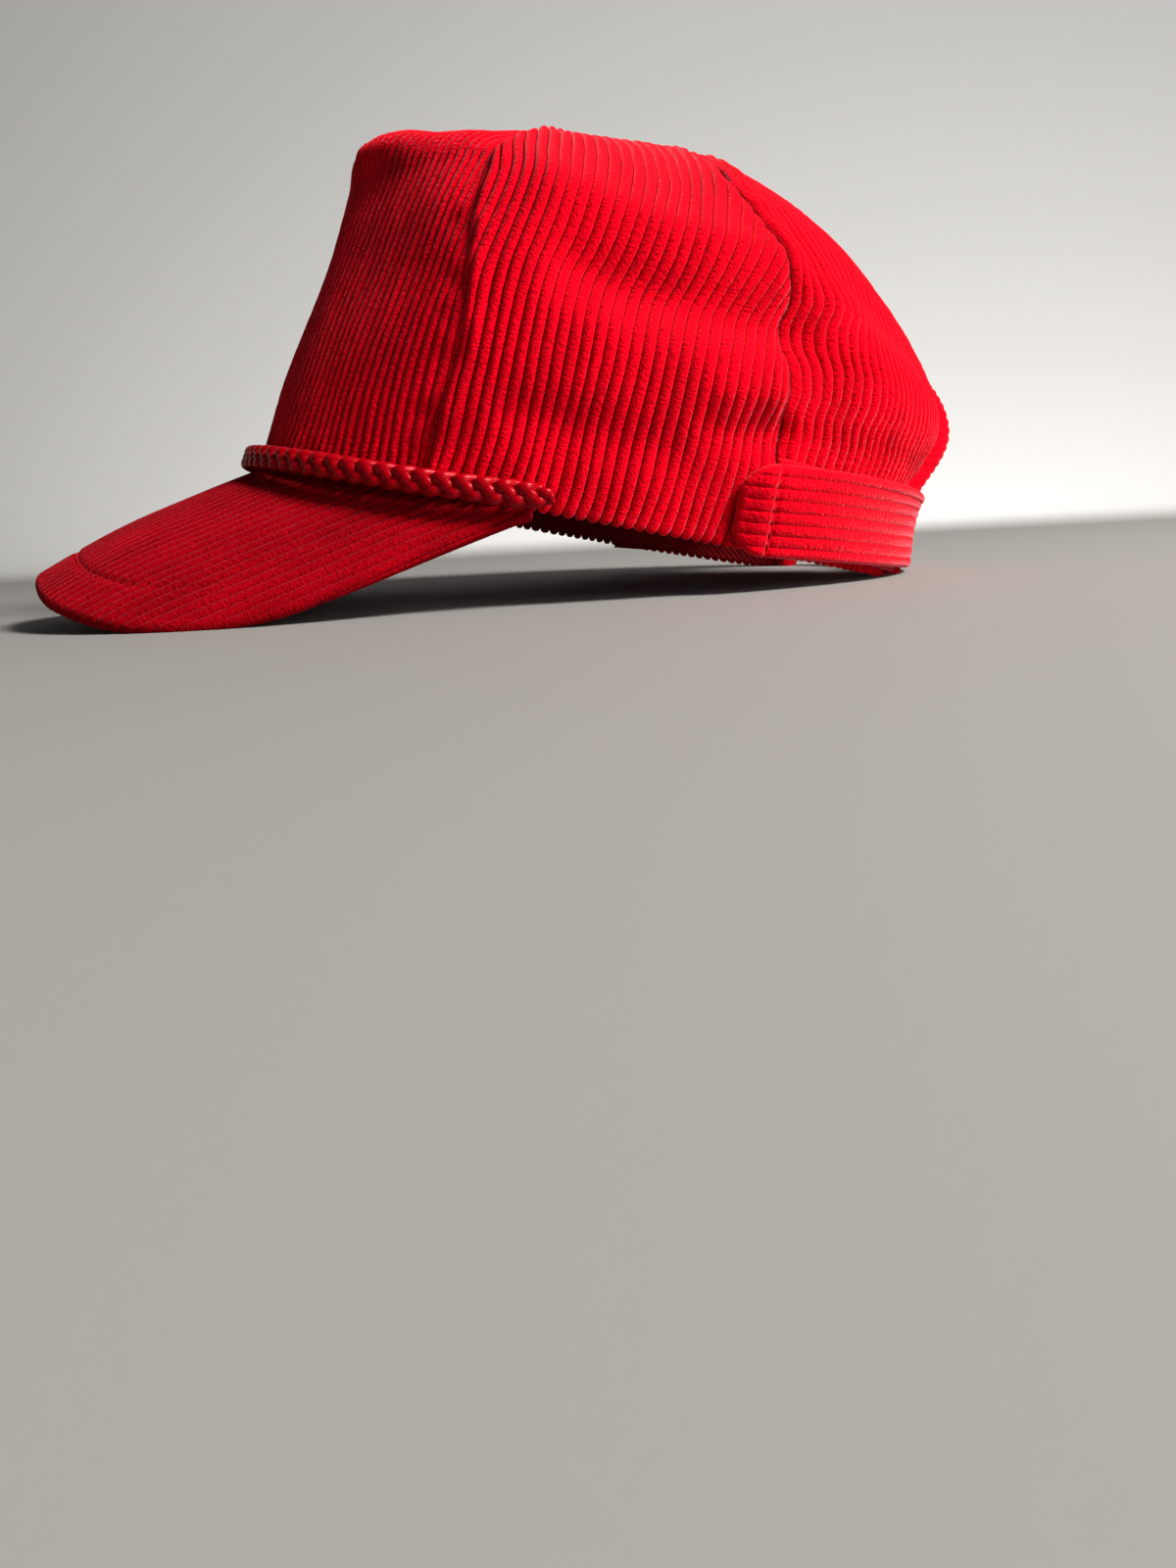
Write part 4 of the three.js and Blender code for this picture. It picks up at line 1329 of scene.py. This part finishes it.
# Lights: place, size, watts, colour and what each is aimed at, in metres.
CAP_MIDDLE = (0, 0, 0.05)
LIGHTS = {
    "key": ((0.772, 0.828, 1.034), 0.5, 53.0, "#FFFAF4", CAP_MIDDLE),
    "fill": ((1.15, 0.75, 0.40), 0.5, 3.0, "#F2F5FF", CAP_MIDDLE),
    "top": ((-0.35, 0.25, 1.25), 0.9, 0.6, "#FFFFFF", CAP_MIDDLE),
    "backdrop": ((-0.45, 0.35, 0.9), 0.8, 70.0, "#FFFFFF", (-2.2, 0.9, 0.5)),
    "far_wall": ((0.75, 1.0, 1.1), 0.8, 45.0, "#FFFFFF", (2.0, 2.4, 0.6)),
}
WORLD_COLOUR, WORLD_STRENGTH = "#F2F2F2", 0.04


class ROPECAP_OT_stage(bpy.types.Operator):
    """Set the floor, the lights and the camera"""
    bl_idname = "rope_cap.stage"
    bl_label = "Stage"

    def execute(self, context):
        scene = context.scene
        self.floor()
        for name, settings in LIGHTS.items():
            self.light(name, *settings)
        world = bpy.data.worlds.new("studio")
        world.use_nodes = True
        background = world.node_tree.nodes["Background"]
        background.inputs["Color"].default_value = linear(WORLD_COLOUR)
        background.inputs["Strength"].default_value = WORLD_STRENGTH
        scene.world = world
        scene.view_settings.view_transform = "Standard"
        self.camera(scene)
        return {"FINISHED"}

    def floor(self):
        turn = np.linspace(0, math.pi / 2, 20)
        radius = np.concatenate([[0.0, 0.3, 0.6], FLOOR_FLAT + FLOOR_SWEEP * np.sin(turn)])
        height = np.concatenate([[0.0, 0.0, 0.0], FLOOR_SWEEP * (1 - np.cos(turn))])
        around = np.linspace(0, 2 * math.pi, FLOOR_SIDES, endpoint=False)
        points = np.stack([radius[:, None] * np.cos(around), radius[:, None] * np.sin(around),
                           height[:, None] + 0 * around], -1)
        ids = np.arange(len(radius) * FLOOR_SIDES).reshape(len(radius), FLOOR_SIDES)
        ids[0] = ids[0, 0]
        quads = ring_quads(ids)
        used, numbers = np.unique(quads, return_inverse=True)
        faces = [list(dict.fromkeys(q)) for q in numbers.reshape(quads.shape).tolist()]
        floor = new_piece("studio_floor", points.reshape(-1, 3)[used], faces, [painted_board()])

    def light(self, name, place, size, watts, colour, aim):
        lamp = bpy.data.lights.new(name, "AREA")
        lamp.shape = "DISK"
        lamp.size = size
        lamp.energy = watts
        lamp.color = linear(colour)[:3]
        holder = bpy.data.objects.new(name, lamp)
        holder.location = place
        holder.rotation_euler = (Vector(aim) - holder.location).to_track_quat("-Z", "Y").to_euler()
        holder.visible_camera = False
        bpy.context.scene.collection.objects.link(holder)

    def camera(self, scene):
        lens = bpy.data.cameras.new("camera")
        lens.sensor_width = SENSOR
        lens.lens = CAMERA_FOCAL_PIXELS / PHOTO_HEIGHT * SENSOR
        lens.clip_start = 0.005
        ahead = Vector((math.cos(CAMERA_UP) * math.cos(CAMERA_ROUND),
                        math.cos(CAMERA_UP) * math.sin(CAMERA_ROUND), math.sin(CAMERA_UP)))
        level = ahead.cross(Vector((0, 0, 1))).normalized()
        upright = level.cross(ahead)
        tilted = upright * math.cos(CAMERA_ROLL) + level * math.sin(CAMERA_ROLL)
        right = ahead.cross(tilted)
        turned = Matrix((right, tilted, -ahead)).transposed().to_4x4()
        camera = bpy.data.objects.new("camera", lens)
        camera.matrix_world = Matrix.Translation(Vector(CAMERA_PLACE) * MM) @ turned
        scene.collection.objects.link(camera)
        scene.camera = camera


class ROPECAP_PT_sidebar(bpy.types.Panel):
    """The cap's sizes, colours and pieces"""
    bl_idname = "ROPECAP_PT_sidebar"
    bl_label = "Corduroy rope cap"
    bl_space_type = "VIEW_3D"
    bl_region_type = "UI"
    bl_category = "Rope cap"

    def draw(self, context):
        for group in (context.scene.rope_cap_sizes, context.scene.rope_cap_colours):
            box = self.layout.box()
            for name in group.bl_rna.properties.keys():
                if name not in ("rna_type", "name"):
                    box.prop(group, name)
        for operator in OPERATORS:
            self.layout.operator(operator.bl_idname)


GROUPS = (CapSizes, CapColours)
OPERATORS = (
    ROPECAP_OT_crown,
    ROPECAP_OT_peak,
    ROPECAP_OT_rope,
    ROPECAP_OT_straps,
    ROPECAP_OT_binding,
    ROPECAP_OT_button,
    ROPECAP_OT_stitching,
    ROPECAP_OT_stage,
)
CLASSES = GROUPS + OPERATORS + (ROPECAP_PT_sidebar,)


def register():
    for cls in CLASSES:
        bpy.utils.register_class(cls)
    bpy.types.Scene.rope_cap_sizes = PointerProperty(type=CapSizes)
    bpy.types.Scene.rope_cap_colours = PointerProperty(type=CapColours)


def unregister():
    del bpy.types.Scene.rope_cap_colours
    del bpy.types.Scene.rope_cap_sizes
    for cls in reversed(CLASSES):
        bpy.utils.unregister_class(cls)


def main():
    register()
    bpy.ops.rope_cap.crown()
    bpy.ops.rope_cap.peak()
    bpy.ops.rope_cap.rope()
    bpy.ops.rope_cap.straps()
    bpy.ops.rope_cap.binding()
    bpy.ops.rope_cap.button()
    bpy.ops.rope_cap.stitching()
    bpy.ops.rope_cap.stage()


if __name__ == "__main__":
    main()
